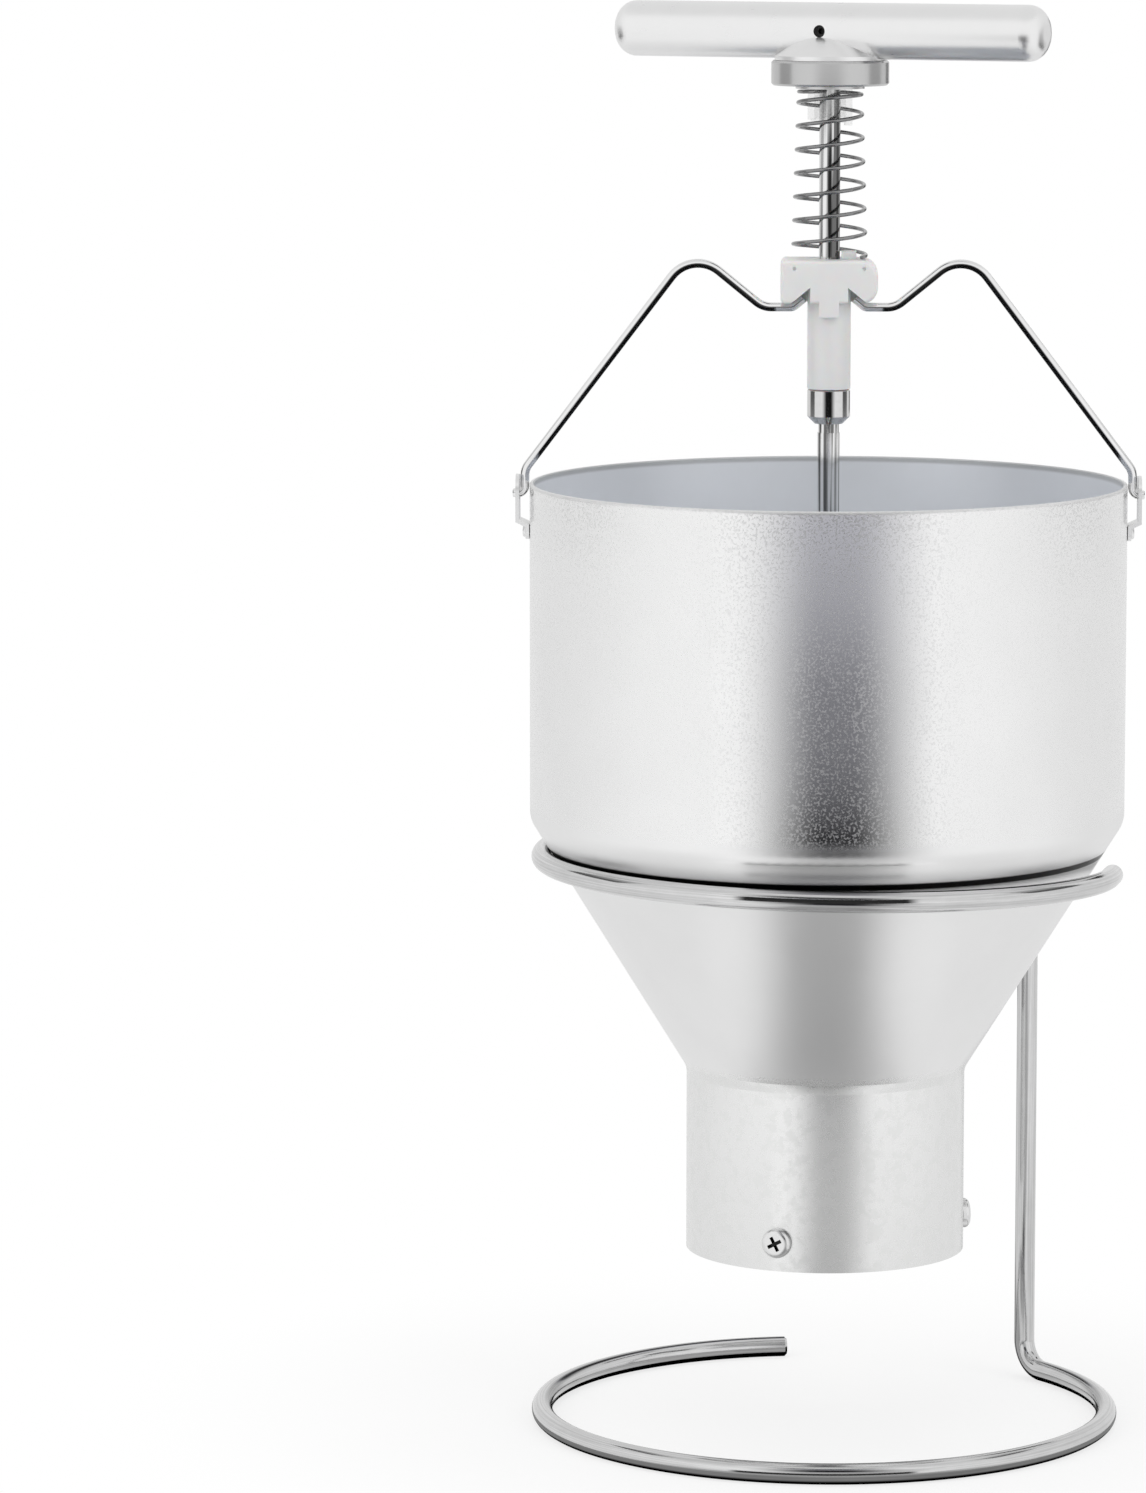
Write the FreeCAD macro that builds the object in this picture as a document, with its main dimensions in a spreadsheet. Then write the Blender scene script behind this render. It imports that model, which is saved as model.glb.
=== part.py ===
"""Donut batter dispenser: a lift-off hopper with a spring-return plunger, on a bent rod stand.

Frame: origin at the centre of the base ring on the table, +Z up, +X to the right of the
front view, +Y to the back. Angles called turns are measured about Z from the front (-Y)
towards the right (+X). All lengths are millimetres.
"""
import FreeCAD, Part
import math
import os
import re
import Sketcher

Vec = FreeCAD.Vector
UP = Vec(0, 0, 1)

# Driving dimensions: alias, value, meaning
SIZES = [
    ("rod_dia", 7, "stand rod, diameter"),
    ("ring_inset", 4, "both rings, centreline inside the hopper wall's outer face"),
    ("ring_height", 193.8, "upper ring, centreline above the table"),
    ("bend_radius", 10, "bends between rings and post, centreline radius"),
    ("post_angle", 133.5, "post, turn about Z"),
    ("lower_end_angle", -172, "free end of the base ring, turn"),
    ("upper_end_angle", 82, "end of the upper ring's round part, turn"),
    ("upper_tail", 9, "straight tail of the upper ring"),
    ("fall_start_angle", -60, "turn at which the upper ring starts to fall to its free end"),
    ("end_fall", 5, "fall of the upper ring's round part at its free end"),
    ("rod_end_chamfer", 0.8, "chamfer on the free ends of the rod"),
    ("tube_dia", 94, "outlet tube, outer diameter"),
    ("tube_length", 62, "outlet tube, length"),
    ("body_dia", 200, "hopper wall, outer diameter"),
    ("cone_height", 85, "hopper cone, height"),
    ("wall_height", 113, "hopper wall, height above the cone"),
    ("shell_wall", 1.5, "hopper shell, wall"),
    ("shoulder_radius", 9, "outer rounding between cone and wall"),
    ("neck_radius", 6, "outer rounding between tube and cone"),
    ("rim_radius", 0.6, "rounding of the rim's edges"),
    ("seat_gap", 0.1, "gap between cone and upper ring"),
    ("slip", 0.05, "radial gap between pieces fixed to each other"),
    ("run", 0.1, "gap between pieces that run on each other"),
    ("overcut", 1, "how far cutting tools reach past a face"),
    ("bore_dia", 46, "metering bore, diameter"),
    ("bore_length", 32, "metering bore, length"),
    ("funnel_rise", 14, "rise of the funnel above the bore"),
    ("barrel_chamfer", 0.8, "chamfer round the foot of the outlet barrel"),
    ("funnel_lip", 0.8, "flat lip at the funnel's edge"),
    ("seal_section", 2.6, "seal ring, section diameter"),
    ("seal_height", 40.5, "seal ring, height above the tube's edge"),
    ("seal_squeeze", 0.15, "side clearance of the seal groove"),
    ("screw_height", 9.7, "outlet screws, height above the tube's edge"),
    ("screw_count", 3, "outlet screws, number"),
    ("screw_angle", -19.6, "first outlet screw, turn"),
    ("screw_dia", 5, "outlet screw, thread diameter"),
    ("screw_reach", 6.5, "outlet screw, length under the head"),
    ("head_dia", 10, "outlet screw head, diameter"),
    ("head_height", 2.8, "outlet screw head, height"),
    ("head_radius", 1.7, "outlet screw head, rounding"),
    ("cross_width", 1.2, "cross recess, width"),
    ("cross_length", 5.2, "cross recess, length"),
    ("cross_depth", 1.6, "cross recess, depth"),
    ("cross_angle", 28, "cross recess, turn about the screw"),
    ("stroke_length", 41.5, "plunger stroke that every dial position allows"),
    ("mouth_recess", 0.5, "cutter disc above the tube's edge at rest"),
    ("cutter_height", 6, "cutter disc, thickness"),
    ("cutter_seat", 2.5, "depth of the rod's seat in the cutter disc"),
    ("cutter_chamfer", 1.2, "chamfer round the top of the cutter disc"),
    ("spacer_dia", 14, "spacer tube, outer diameter"),
    ("piston_clear", 1, "piston above the tube's edge at full stroke"),
    ("piston_height", 14, "piston, height"),
    ("piston_chamfer", 0.8, "chamfer on the piston's edges"),
    ("groove_depth", 1.2, "piston grooves, depth"),
    ("groove_width", 1.6, "piston grooves, width"),
    ("groove_pitch", 4, "piston grooves, pitch"),
    ("groove_count", 2, "piston grooves, number"),
    ("nut_flats", 13, "piston nut, width across flats"),
    ("nut_height", 6.5, "piston nut, height"),
    ("nut_face_dia", 12.4, "piston nut, diameter of its flat faces"),
    ("nut_bevel_angle", 30, "piston nut, slope of its corner bevels"),
    ("csk_dia", 8, "cutter screw, head diameter"),
    ("csk_height", 2.1, "cutter screw, head height"),
    ("csk_thread", 4, "cutter screw, thread diameter"),
    ("csk_length", 14, "cutter screw, length"),
    ("hex_socket", 2.5, "cutter screw socket, across flats"),
    ("hex_depth", 1.5, "cutter screw socket, depth"),
    ("lower_rod_dia", 7.5, "lower plunger rod, diameter"),
    ("shaft_dia", 7, "upper shaft and rod neck, diameter"),
    ("neck_show", 3, "rod neck that shows below the ferrule"),
    ("ferrule_dia", 14.4, "coupling ferrule, diameter"),
    ("ferrule_length", 11.6, "coupling ferrule, length"),
    ("ferrule_chamfer", 2.5, "coupling ferrule, chamfer at its foot"),
    ("ferrule_edge", 0.5, "coupling ferrule, rounding at its top"),
    ("shaft_chamfer", 0.5, "chamfer on shaft and rod ends"),
    ("block_rise", 60.5, "guide block's underside above the rim"),
    ("block_width", 32.4, "guide block, width"),
    ("block_depth", 22, "guide block, depth"),
    ("block_height", 14.5, "guide block, height"),
    ("block_edge", 1.2, "guide block, rounding of its front and back edges"),
    ("block_left_radius", 1.8, "guide block, rounding at its left end"),
    ("block_right_radius", 5.5, "guide block, rounding at its right end"),
    ("tongue_width", 6.6, "tongue under the block, width"),
    ("tongue_drop", 4.5, "tongue under the block, height"),
    ("lug_over", 1.5, "stop lug on the block, reach past the stop sleeve"),
    ("lug_width", 5, "stop lug on the block, radial width"),
    ("lug_depth", 6, "stop lug on the block, depth"),
    ("lug_height", 2.5, "stop lug on the block, height"),
    ("pin_mark_dia", 1.3, "ejector marks on the block, diameter"),
    ("pin_mark_depth", 0.8, "ejector marks on the block, depth"),
    ("pin_mark_reach", 11.6, "ejector marks, distance from the axis"),
    ("pin_mark_drop", 2.8, "ejector marks, distance from the block's top"),
    ("sleeve_dia", 14.5, "guide sleeve, outer diameter"),
    ("sleeve_hang", 28.9, "guide sleeve, length below the block"),
    ("wire_dia", 3, "bail arm wire, diameter"),
    ("hook_rise", 15.2, "bail arm hook above the ear's lower edge"),
    ("hook_radius", 2.4, "bail arm hook, bend radius"),
    ("hook_show", 1.1, "bail arm hook, end that stands out of the ear"),
    ("arm_stand", 8, "upright stretch of the bail arm behind the ear"),
    ("arm_foot_radius", 6, "bend above the ear"),
    ("crest_reach", 45.7, "corner at the crest of the bail arm, from the axis"),
    ("crest_rise", 78, "corner at the crest, above the rim"),
    ("crest_radius", 11, "bend at the crest of the bail arm"),
    ("dip_reach", 5.9, "corner of the arm beside the guide block, from the block's end"),
    ("dip_radius", 8, "bend beside the guide block"),
    ("tip_bend_radius", 2.6, "bend under the guide block"),
    ("tip_bend_reach", 4.85, "corner under the guide block, from the guide sleeve"),
    ("tip_reach", 1.2, "end of the bail arm, from the guide sleeve"),
    ("tip_rise", 3, "rise of the bail arm's end into the block"),
    ("ear_width", 12, "ear plate, width"),
    ("ear_plate", 1.2, "ear plate, thickness"),
    ("ear_drop", 19, "ear plate's lower edge below the rim"),
    ("ear_flange", 5, "flat flange of the ear"),
    ("ear_step", 1.6, "rise over which the ear steps out from the wall"),
    ("ear_height", 21.5, "ear plate, height"),
    ("ear_top_radius", 5, "rounding of the ear's upper corners"),
    ("ear_foot_radius", 2.5, "rounding of the ear's lower corners"),
    ("hook_play", 0.9, "radial play of the hook in its hole"),
    ("rivet_dia", 2.4, "ear rivet, shank diameter"),
    ("rivet_head", 4, "ear rivet, head diameter"),
    ("rivet_dome", 1.1, "ear rivet, head height"),
    ("rivet_tail", 0.8, "ear rivet, inner head height"),
    ("rivet_round", 0.7, "ear rivet, rounding of both heads"),
    ("rivet_rise", 2.3, "ear rivet above the ear's lower edge"),
    ("spring_wire", 1.3, "return spring, wire diameter"),
    ("spring_foot_dia", 25.8, "return spring, outer diameter at the block"),
    ("spring_head_dia", 22, "return spring, outer diameter at the washer"),
    ("spring_quarters", 31, "return spring, quarter turns in all"),
    ("closed_quarters", 4, "return spring, quarter turns of its closed end"),
    ("closed_pitch", 1.85, "return spring, pitch of its closed end"),
    ("foot_pitch", 3.95, "return spring, pitch where its wire starts on the block"),
    ("spring_start_angle", -30, "return spring, start of its lower end from +X"),
    ("pressed_height", 15, "return spring, height at full stroke"),
    ("washer_edge", 0.5, "spring washer, edge round the spring"),
    ("washer_play", 0.3, "spring washer, play round the stop sleeve"),
    ("washer_thick", 1, "spring washer, thickness"),
    ("dial_dia", 39.2, "thickness dial, diameter"),
    ("dial_height", 8.3, "thickness dial, height"),
    ("dial_chamfer", 0.7, "thickness dial, edge chamfer"),
    ("stop_dia", 15, "stop sleeve, outer diameter"),
    ("stop_bore", 10.6, "stop sleeve, bore"),
    ("stop_seat", 4, "stop sleeve's seat in the dial"),
    ("stop_play", 0.3, "gap left between lug and longest step at full stroke"),
    ("step_count", 6, "steps of the stop sleeve, number"),
    ("step_rise", 0.6, "steps of the stop sleeve, rise of each"),
    ("bar_dia", 18.6, "handle bar, diameter"),
    ("bar_length", 155, "handle bar, length"),
    ("bar_end_radius", 6.5, "handle bar, rounding of its ends"),
    ("bar_angle", -24, "handle bar, angle of its right end from +X"),
    ("hub_dia", 37, "handle hub, diameter at its foot"),
    ("hub_edge", 1.4, "handle hub, upright edge at its foot"),
    ("hub_top_dia", 17, "handle hub, diameter where it meets the bar"),
    ("hub_rise", 8, "handle hub, height"),
    ("hub_show", 0.3, "handle hub below the bar"),
    ("shaft_seat", 11, "upper shaft's seat in the handle"),
    ("grub_dia", 4, "handle set screw, diameter"),
    ("grub_length", 4, "handle set screw, length"),
    ("grub_socket", 2, "handle set screw socket, across flats"),
    ("grub_socket_depth", 1.8, "handle set screw socket, depth"),
]

document = FreeCAD.newDocument("donut_batter_dispenser")
sheet = document.addObject("Spreadsheet::Sheet", "Sizes")
for row, (alias, number, meaning) in enumerate(SIZES, start=1):
    sheet.set(f"A{row}", meaning)
    sheet.set(f"B{row}", str(number))
    sheet.setAlias(f"B{row}", alias)
document.recompute()

ALIASES = {alias for alias, number, meaning in SIZES}
nodes = []


def read(expression):
    """Value of an expression on the sheet's aliases."""
    return float(sheet.evalExpression(expression))


def bind(item, path, expression):
    """Tie one property of an object to the sheet."""
    def with_sheet(match):
        word = match.group(0)
        return f"Sizes.{word}" if word in ALIASES else word
    item.setExpression(path, re.sub(r"[a-z_]+", with_sheet, expression))


# Places that several pieces share, worked out from the driving dimensions
CONE_SLOPE = "((body_dia - tube_dia) / 2 / cone_height)"
RING_RADIUS = "(body_dia / 2 - ring_inset)"
SEAT_REACH = f"({RING_RADIUS} - (rod_dia / 2 + seat_gap) * sqrt(1 + {CONE_SLOPE} ^ 2))"
FOOT = f"(ring_height - tube_length - ({SEAT_REACH} - tube_dia / 2) / {CONE_SLOPE})"
SHOULDER = "(tube_length + cone_height)"
RIM = f"({SHOULDER} + wall_height)"
TUBE_BORE = "(tube_dia / 2 - shell_wall)"
CUTTER_TOP = "(mouth_recess + cutter_height)"
PISTON_FOOT = "(stroke_length + piston_clear)"
PISTON_TOP = f"({PISTON_FOOT} + piston_height)"
EAR_FOOT = f"({RIM} - ear_drop)"
BLOCK_FOOT = f"({RIM} + block_rise)"
BLOCK_TOP = f"({BLOCK_FOOT} + block_height)"
SLEEVE_FOOT = f"({BLOCK_FOOT} - sleeve_hang)"
FERRULE_TOP = f"({SLEEVE_FOOT} - run)"
FERRULE_FOOT = f"({FERRULE_TOP} - ferrule_length)"
FERRULE_MIDDLE = f"({FERRULE_FOOT} + ferrule_length / 2)"
WASHER_FOOT = f"({BLOCK_TOP} + stroke_length + pressed_height)"
DIAL_FOOT = f"({WASHER_FOOT} + washer_thick + run)"
DIAL_TOP = f"({DIAL_FOOT} + dial_height)"
HUB_FOOT = f"({DIAL_TOP} + run)"
BAR_HEIGHT = f"({HUB_FOOT} + hub_show + bar_dia / 2)"
STOP_FOOT = f"({BLOCK_TOP} + lug_height + stroke_length + stop_play)"
WIRE_DROP = "(wire_dia / 2 + 2 * run)"
TIP_BEND_REACH = "(sleeve_dia / 2 + tip_bend_reach)"
EAR_FACE = "(body_dia / 2 + slip)"
EAR_JOGGLE = "(wire_dia + 4 * run)"
EAR_OUTER = f"({EAR_FACE} + {EAR_JOGGLE} + ear_plate)"


def place(item, height, turn="0"):
    """Stand an object at a height and turn it about Z, both tied to the sheet."""
    item.Placement = FreeCAD.Placement(Vec(0, 0, 0), FreeCAD.Rotation(UP, 1))
    bind(item, ".Placement.Base.z", height)
    bind(item, ".Placement.Rotation.Angle", turn)


def keep(item, label):
    """List an object as a finished sub-part."""
    item.Label = label
    nodes.append(item)
    return item


def new_body(name):
    return document.addObject("PartDesign::Body", name)


def outline(body, role, corners):
    """Closed sketch on an origin plane, each corner a pair of expressions on the sheet."""
    sketch = body.newObject("Sketcher::SketchObject", f"{body.Name}_outline")
    plane = [item for item in body.Origin.OriginFeatures if item.Role == role][0]
    sketch.AttachmentSupport = [(plane, "")]
    sketch.MapMode = "FlatFace"
    points = [Vec(read(across), read(along), 0) for across, along in corners]
    for start, end in zip(points, points[1:] + points[:1]):
        sketch.addGeometry(Part.LineSegment(start, end), False)
    for line in range(len(points)):
        following = (line + 1) % len(points)
        sketch.addConstraint(Sketcher.Constraint("Coincident", line, 2, following, 1))
    for line, corner in enumerate(corners):
        for kind, axis, expression in (("DistanceX", -2, corner[0]), ("DistanceY", -1, corner[1])):
            if expression == "0":
                sketch.addConstraint(Sketcher.Constraint("PointOnObject", line, 1, axis))
                continue
            size = read(expression)
            index = sketch.addConstraint(Sketcher.Constraint(kind, -1, 1, line, 1, size))
            sketch.renameConstraint(index, f"{kind}_{line}")
            bind(sketch, f"Constraints.{kind}_{line}", expression)
    return sketch


def disc_sketch(body, role, across, along, diameter):
    """Circle on an origin plane, its centre and diameter tied to the sheet."""
    sketch = body.newObject("Sketcher::SketchObject", f"{body.Name}_circle")
    plane = [item for item in body.Origin.OriginFeatures if item.Role == role][0]
    sketch.AttachmentSupport = [(plane, "")]
    sketch.MapMode = "FlatFace"
    centre = Vec(read(across), read(along), 0)
    sketch.addGeometry(Part.Circle(centre, UP, read(diameter) / 2), False)
    for kind, axis, expression in (("DistanceX", -2, across), ("DistanceY", -1, along)):
        if expression == "0":
            sketch.addConstraint(Sketcher.Constraint("PointOnObject", 0, 3, axis))
            continue
        size = read(expression)
        index = sketch.addConstraint(Sketcher.Constraint(kind, -1, 1, 0, 3, size))
        sketch.renameConstraint(index, kind)
        bind(sketch, f"Constraints.{kind}", expression)
    index = sketch.addConstraint(Sketcher.Constraint("Diameter", 0, read(diameter)))
    sketch.renameConstraint(index, "Diameter")
    bind(sketch, "Constraints.Diameter", diameter)
    return sketch


def revolve(body, corners, axis="V_Axis", role="XZ_Plane", kind="PartDesign::Revolution"):
    """Turn a closed outline about a sketch axis, as added or removed material."""
    sketch = outline(body, role, corners)
    turning = body.newObject(kind, f"{body.Name}_turning")
    turning.Profile = sketch
    turning.ReferenceAxis = (sketch, [axis])
    turning.Angle = 360
    document.recompute()
    return turning


def extrude(body, sketch, length, kind="PartDesign::Pad", centred=False, reverse=False):
    """Pad or pocket a sketch by a length tied to the sheet."""
    feature = body.newObject(kind, f"{body.Name}_extrusion")
    feature.Profile = sketch
    feature.Midplane = centred
    feature.Reversed = reverse
    bind(feature, "Length", length)
    document.recompute()
    return feature


def pierce(body, sketch):
    """Cut a sketch right through, both ways."""
    feature = body.newObject("PartDesign::Pocket", f"{body.Name}_pierce")
    feature.Profile = sketch
    feature.Type = "ThroughAll"
    feature.Midplane = True
    document.recompute()
    return feature


def soften(body, kind, size, chooser):
    """Fillet or chamfer the edges of the body's tip that the chooser picks."""
    base = body.Tip
    edges = [f"Edge{number}" for number, edge in enumerate(base.Shape.Edges, start=1)
             if chooser(edge)]
    if not edges:
        raise RuntimeError(f"{body.Name}: no edge to soften")
    feature = body.newObject(f"PartDesign::{kind}", f"{body.Name}_{kind.lower()}")
    feature.Base = (base, edges)
    bind(feature, "Radius" if kind == "Fillet" else "Size", size)
    document.recompute()
    return feature


def near(first, second):
    return abs(first - second) < 1e-4


def ring_edge(*places):
    """Chooser for whole circles about Z, by pairs of radius and height expressions."""
    wanted = [(read(radius), read(height)) for radius, height in places]

    def chooser(edge):
        if not isinstance(edge.Curve, Part.Circle):
            return False
        centre = edge.Curve.Center
        return any(near(edge.Curve.Radius, radius) and near(centre.z, height)
                   for radius, height in wanted)
    return chooser


def axial_ring(radius, reaches):
    """Chooser for whole circles of one radius about X, at any of the given reaches along it."""
    wanted = [read(reach) for reach in reaches]

    def chooser(edge):
        return (isinstance(edge.Curve, Part.Circle) and near(edge.Curve.Radius, read(radius))
                and any(near(edge.Curve.Center.x, reach) for reach in wanted))
    return chooser


def turned_piece(label, corners, height=FOOT, turn="0"):
    """Piece turned about Z from an outline of radius and height pairs."""
    body = new_body(label)
    revolve(body, corners)
    place(body, height, turn)
    return keep(body, label)


def cylinder(name, radius, height, foot="0", angle="360", turn="0"):
    """Cylinder primitive about Z, or a sector of one, tied to the sheet."""
    item = document.addObject("Part::Cylinder", name)
    bind(item, "Radius", radius)
    bind(item, "Height", height)
    bind(item, "Angle", angle)
    place(item, foot, turn)
    return item


def rod_tool(name, radius, length, axis, angle):
    """Cylinder primitive leaned about an axis by an angle, both tied to the sheet."""
    item = document.addObject("Part::Cylinder", name)
    bind(item, "Radius", radius)
    bind(item, "Height", length)
    item.Placement = FreeCAD.Placement(Vec(), FreeCAD.Rotation(axis, 1))
    bind(item, ".Placement.Rotation.Angle", angle)
    return item


def upright_box(name, width, depth, height, corner):
    """Box primitive from its lowest corner, tied to the sheet."""
    item = document.addObject("Part::Box", name)
    for path, expression in (("Length", width), ("Width", depth), ("Height", height)):
        bind(item, path, expression)
    for axis, expression in zip("xyz", corner):
        bind(item, f".Placement.Base.{axis}", expression)
    return item


def prism(name, across_flats, height, foot="0"):
    """Hexagonal prism about Z, tied to the sheet."""
    item = document.addObject("Part::Prism", name)
    item.Polygon = 6
    bind(item, "Circumradius", f"{across_flats} / sqrt(3)")
    bind(item, "Height", height)
    place(item, foot)
    return item


def boolean(kind, name, base, tool):
    item = document.addObject(f"Part::{kind}", name)
    item.Base = base
    item.Tool = tool
    return item


def group(label, members):
    """Node of separate like solids."""
    item = document.addObject("Part::Compound", label)
    item.Links = members
    return keep(item, label)


def tube_along(path_edges, radius):
    """Round wire along a smooth path, with its volume compared with section times length."""
    path = Part.Wire(path_edges)
    first = path.OrderedEdges[0]
    start = first.valueAt(first.FirstParameter)
    heading = first.tangentAt(first.FirstParameter)
    section = Part.Wire([Part.Circle(start, heading, radius).toShape()])
    solid = path.makePipeShell([section], True, False)
    expected = math.pi * radius ** 2 * path.Length
    if abs(solid.Volume / expected - 1) > 0.01:
        raise RuntimeError("a wire's volume is off its section times its length")
    return solid


def feature(label, shape, height=None):
    """Sub-part whose shape is worked out from the sheet in code."""
    item = document.addObject("Part::Feature", label)
    item.Shape = shape
    if height:
        place(item, height)
    return keep(item, label)


def rounded_route(points, radii):
    """Straight runs through points, joined by tangent arcs of the given radii."""
    edges = []
    start = points[0]
    for corner, following, radius in zip(points[1:-1], points[2:], radii):
        back = (start - corner).normalize()
        ahead = (following - corner).normalize()
        half_angle = back.getAngle(ahead) / 2
        reach = radius / math.tan(half_angle)
        enter = corner + back * reach
        leave = corner + ahead * reach
        bisector = (back + ahead).normalize()
        middle = corner + bisector * (radius / math.sin(half_angle) - radius)
        edges.append(Part.LineSegment(start, enter).toShape())
        edges.append(Part.Arc(enter, middle, leave).toShape())
        start = leave
    edges.append(Part.LineSegment(start, points[-1]).toShape())
    return edges


def biarc(start, start_heading, end, end_heading):
    """Two tangent arcs between two points with given headings."""
    span = end - start
    both = start_heading + end_heading
    square = 2 * (start_heading.dot(end_heading) - 1)
    linear = -2 * span.dot(both)
    spread = math.sqrt(linear ** 2 - 4 * square * span.dot(span))
    reach = (-linear - spread) / (2 * square)
    first_corner = start + start_heading * reach
    last_corner = end - end_heading * reach
    joint = (first_corner + last_corner) * 0.5
    return [tangent_arc(start, first_corner, joint), tangent_arc(joint, last_corner, end)]


def tangent_arc(start, corner, end):
    """Arc from start to end whose end tangents meet in the corner."""
    chord_middle = (start + end) * 0.5
    half_chord = (end - start).Length / 2
    half_angle = math.acos(half_chord / (corner - start).Length)
    bulge = (corner - chord_middle).normalize() * (half_chord * math.tan(half_angle / 2))
    return Part.Arc(start, chord_middle + bulge, end).toShape()


# Stand

def on_ring(turn, height):
    """Point of a ring's centreline at a turn from the front towards the right."""
    radius = read(RING_RADIUS)
    angle = math.radians(turn)
    return Vec(radius * math.sin(angle), -radius * math.cos(angle), height)


def along_ring(turn):
    """Direction in which a ring runs at a turn."""
    angle = math.radians(turn)
    return Vec(math.cos(angle), math.sin(angle), 0)


def ring_arc(first_turn, last_turn, height):
    middle = (first_turn + last_turn) / 2
    return [
        Part.Arc(on_ring(first_turn, height),
                 on_ring((first_turn + middle) / 2, height),
                 on_ring(middle, height)).toShape(),
        Part.Arc(on_ring(middle, height),
                 on_ring((middle + last_turn) / 2, height),
                 on_ring(last_turn, height)).toShape(),
    ]


def falling_arc(first_turn, last_turn, height, fall):
    """Edges of a ring that falls with the square of the turn, and the heading at its end."""
    spans = 4
    points, headings = [], []
    for number in range(spans + 1):
        share = number / spans
        turn = first_turn + (last_turn - first_turn) * share
        slope = 2 * fall * share / math.radians(last_turn - first_turn)
        points.append(on_ring(turn, height - fall * share ** 2))
        headings.append((along_ring(turn) * read(RING_RADIUS) - UP * slope).normalize())
    edges = []
    for number in range(spans):
        edges += biarc(points[number], headings[number], points[number + 1], headings[number + 1])
    return edges, headings[-1]


def quarter_bend(centre, first, last):
    """Quarter circle about a centre from one arm to the other, given as vectors."""
    middle = (first + last) * math.sqrt(0.5)
    return Part.Arc(centre + first, centre + middle, centre + last).toShape()


def make_stand_rod():
    """Base ring, post and upper ring bent from one rod."""
    bend = read("bend_radius")
    base_height = read("rod_dia / 2")
    top_height = read("ring_height")
    lead = math.degrees(math.atan2(bend, read(RING_RADIUS)))
    leave_turn = read("post_angle") - lead
    join_turn = read("post_angle") + lead
    fall_turn = read("fall_start_angle") + 360
    tail_turn = read("upper_end_angle") + 360
    leave = on_ring(leave_turn, base_height)
    join = on_ring(join_turn, top_height)
    low_bend = quarter_bend(leave + UP * bend, UP * -bend, along_ring(leave_turn) * bend)
    high_bend = quarter_bend(join - UP * bend, along_ring(join_turn) * -bend, UP * bend)
    post = Part.LineSegment(low_bend.Vertexes[-1].Point, high_bend.Vertexes[0].Point).toShape()
    falling, tail_heading = falling_arc(fall_turn, tail_turn, top_height, read("end_fall"))
    tail_start = falling[-1].Vertexes[-1].Point
    tail_end = tail_start + tail_heading * read("upper_tail")
    path = ring_arc(read("lower_end_angle"), leave_turn, base_height)
    path += [low_bend, post, high_bend]
    path += ring_arc(join_turn, fall_turn, top_height) + falling
    path += [Part.LineSegment(tail_start, tail_end).toShape()]
    radius = read("rod_dia / 2")
    rod = tube_along(path, radius)
    ends = [on_ring(read("lower_end_angle"), base_height), tail_end]
    end_edges = [edge for edge in rod.Edges
                 if any(edge.CenterOfMass.distanceToPoint(end) < radius / 10 for end in ends)]
    feature("stand_rod", rod.makeChamfer(read("rod_end_chamfer"), end_edges))


# Hopper

def make_hopper_shell():
    """Outlet tube, cone and wall spun in one shell of even thickness."""
    lift = f"shell_wall * tan(atan({CONE_SLOPE}) / 2)"
    body = new_body("hopper_shell")
    tube, wall = "tube_dia / 2", "body_dia / 2"
    inner_wall = "(body_dia / 2 - shell_wall)"
    revolve(body, [
        (tube, "0"), (tube, "tube_length"), (wall, SHOULDER), (wall, RIM),
        (inner_wall, RIM), (inner_wall, f"{SHOULDER} + {lift}"),
        (TUBE_BORE, f"tube_length + {lift}"), (TUBE_BORE, "0"),
    ])
    soften(body, "Fillet", "shoulder_radius", ring_edge((wall, SHOULDER)))
    soften(body, "Fillet", "shoulder_radius - shell_wall",
           ring_edge((inner_wall, f"{SHOULDER} + {lift}")))
    soften(body, "Fillet", "neck_radius", ring_edge((tube, "tube_length")))
    soften(body, "Fillet", "neck_radius + shell_wall",
           ring_edge((TUBE_BORE, f"tube_length + {lift}")))
    soften(body, "Fillet", "rim_radius", ring_edge((wall, RIM), (inner_wall, RIM)))
    pierce(body, disc_sketch(body, "YZ_Plane", "0", f"{EAR_FOOT} + rivet_rise",
                             "rivet_dia + 2 * slip"))
    hole = disc_sketch(body, "XZ_Plane", "0", "screw_height", "screw_dia + 2 * slip")
    hole.AttachmentOffset = FreeCAD.Placement(Vec(), FreeCAD.Rotation(Vec(0, 1, 0), 1))
    bind(hole, ".AttachmentOffset.Rotation.Angle", "screw_angle")
    drilling = extrude(body, hole, "tube_dia", "PartDesign::Pocket", reverse=True)
    ring = body.newObject("PartDesign::PolarPattern", "screw_holes")
    ring.Originals = [drilling]
    ring.Axis = (hole, ["V_Axis"])
    ring.Angle = 360
    bind(ring, "Occurrences", "screw_count")
    body.Tip = ring
    document.recompute()
    place(body, FOOT)
    keep(body, "hopper_shell")


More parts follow.
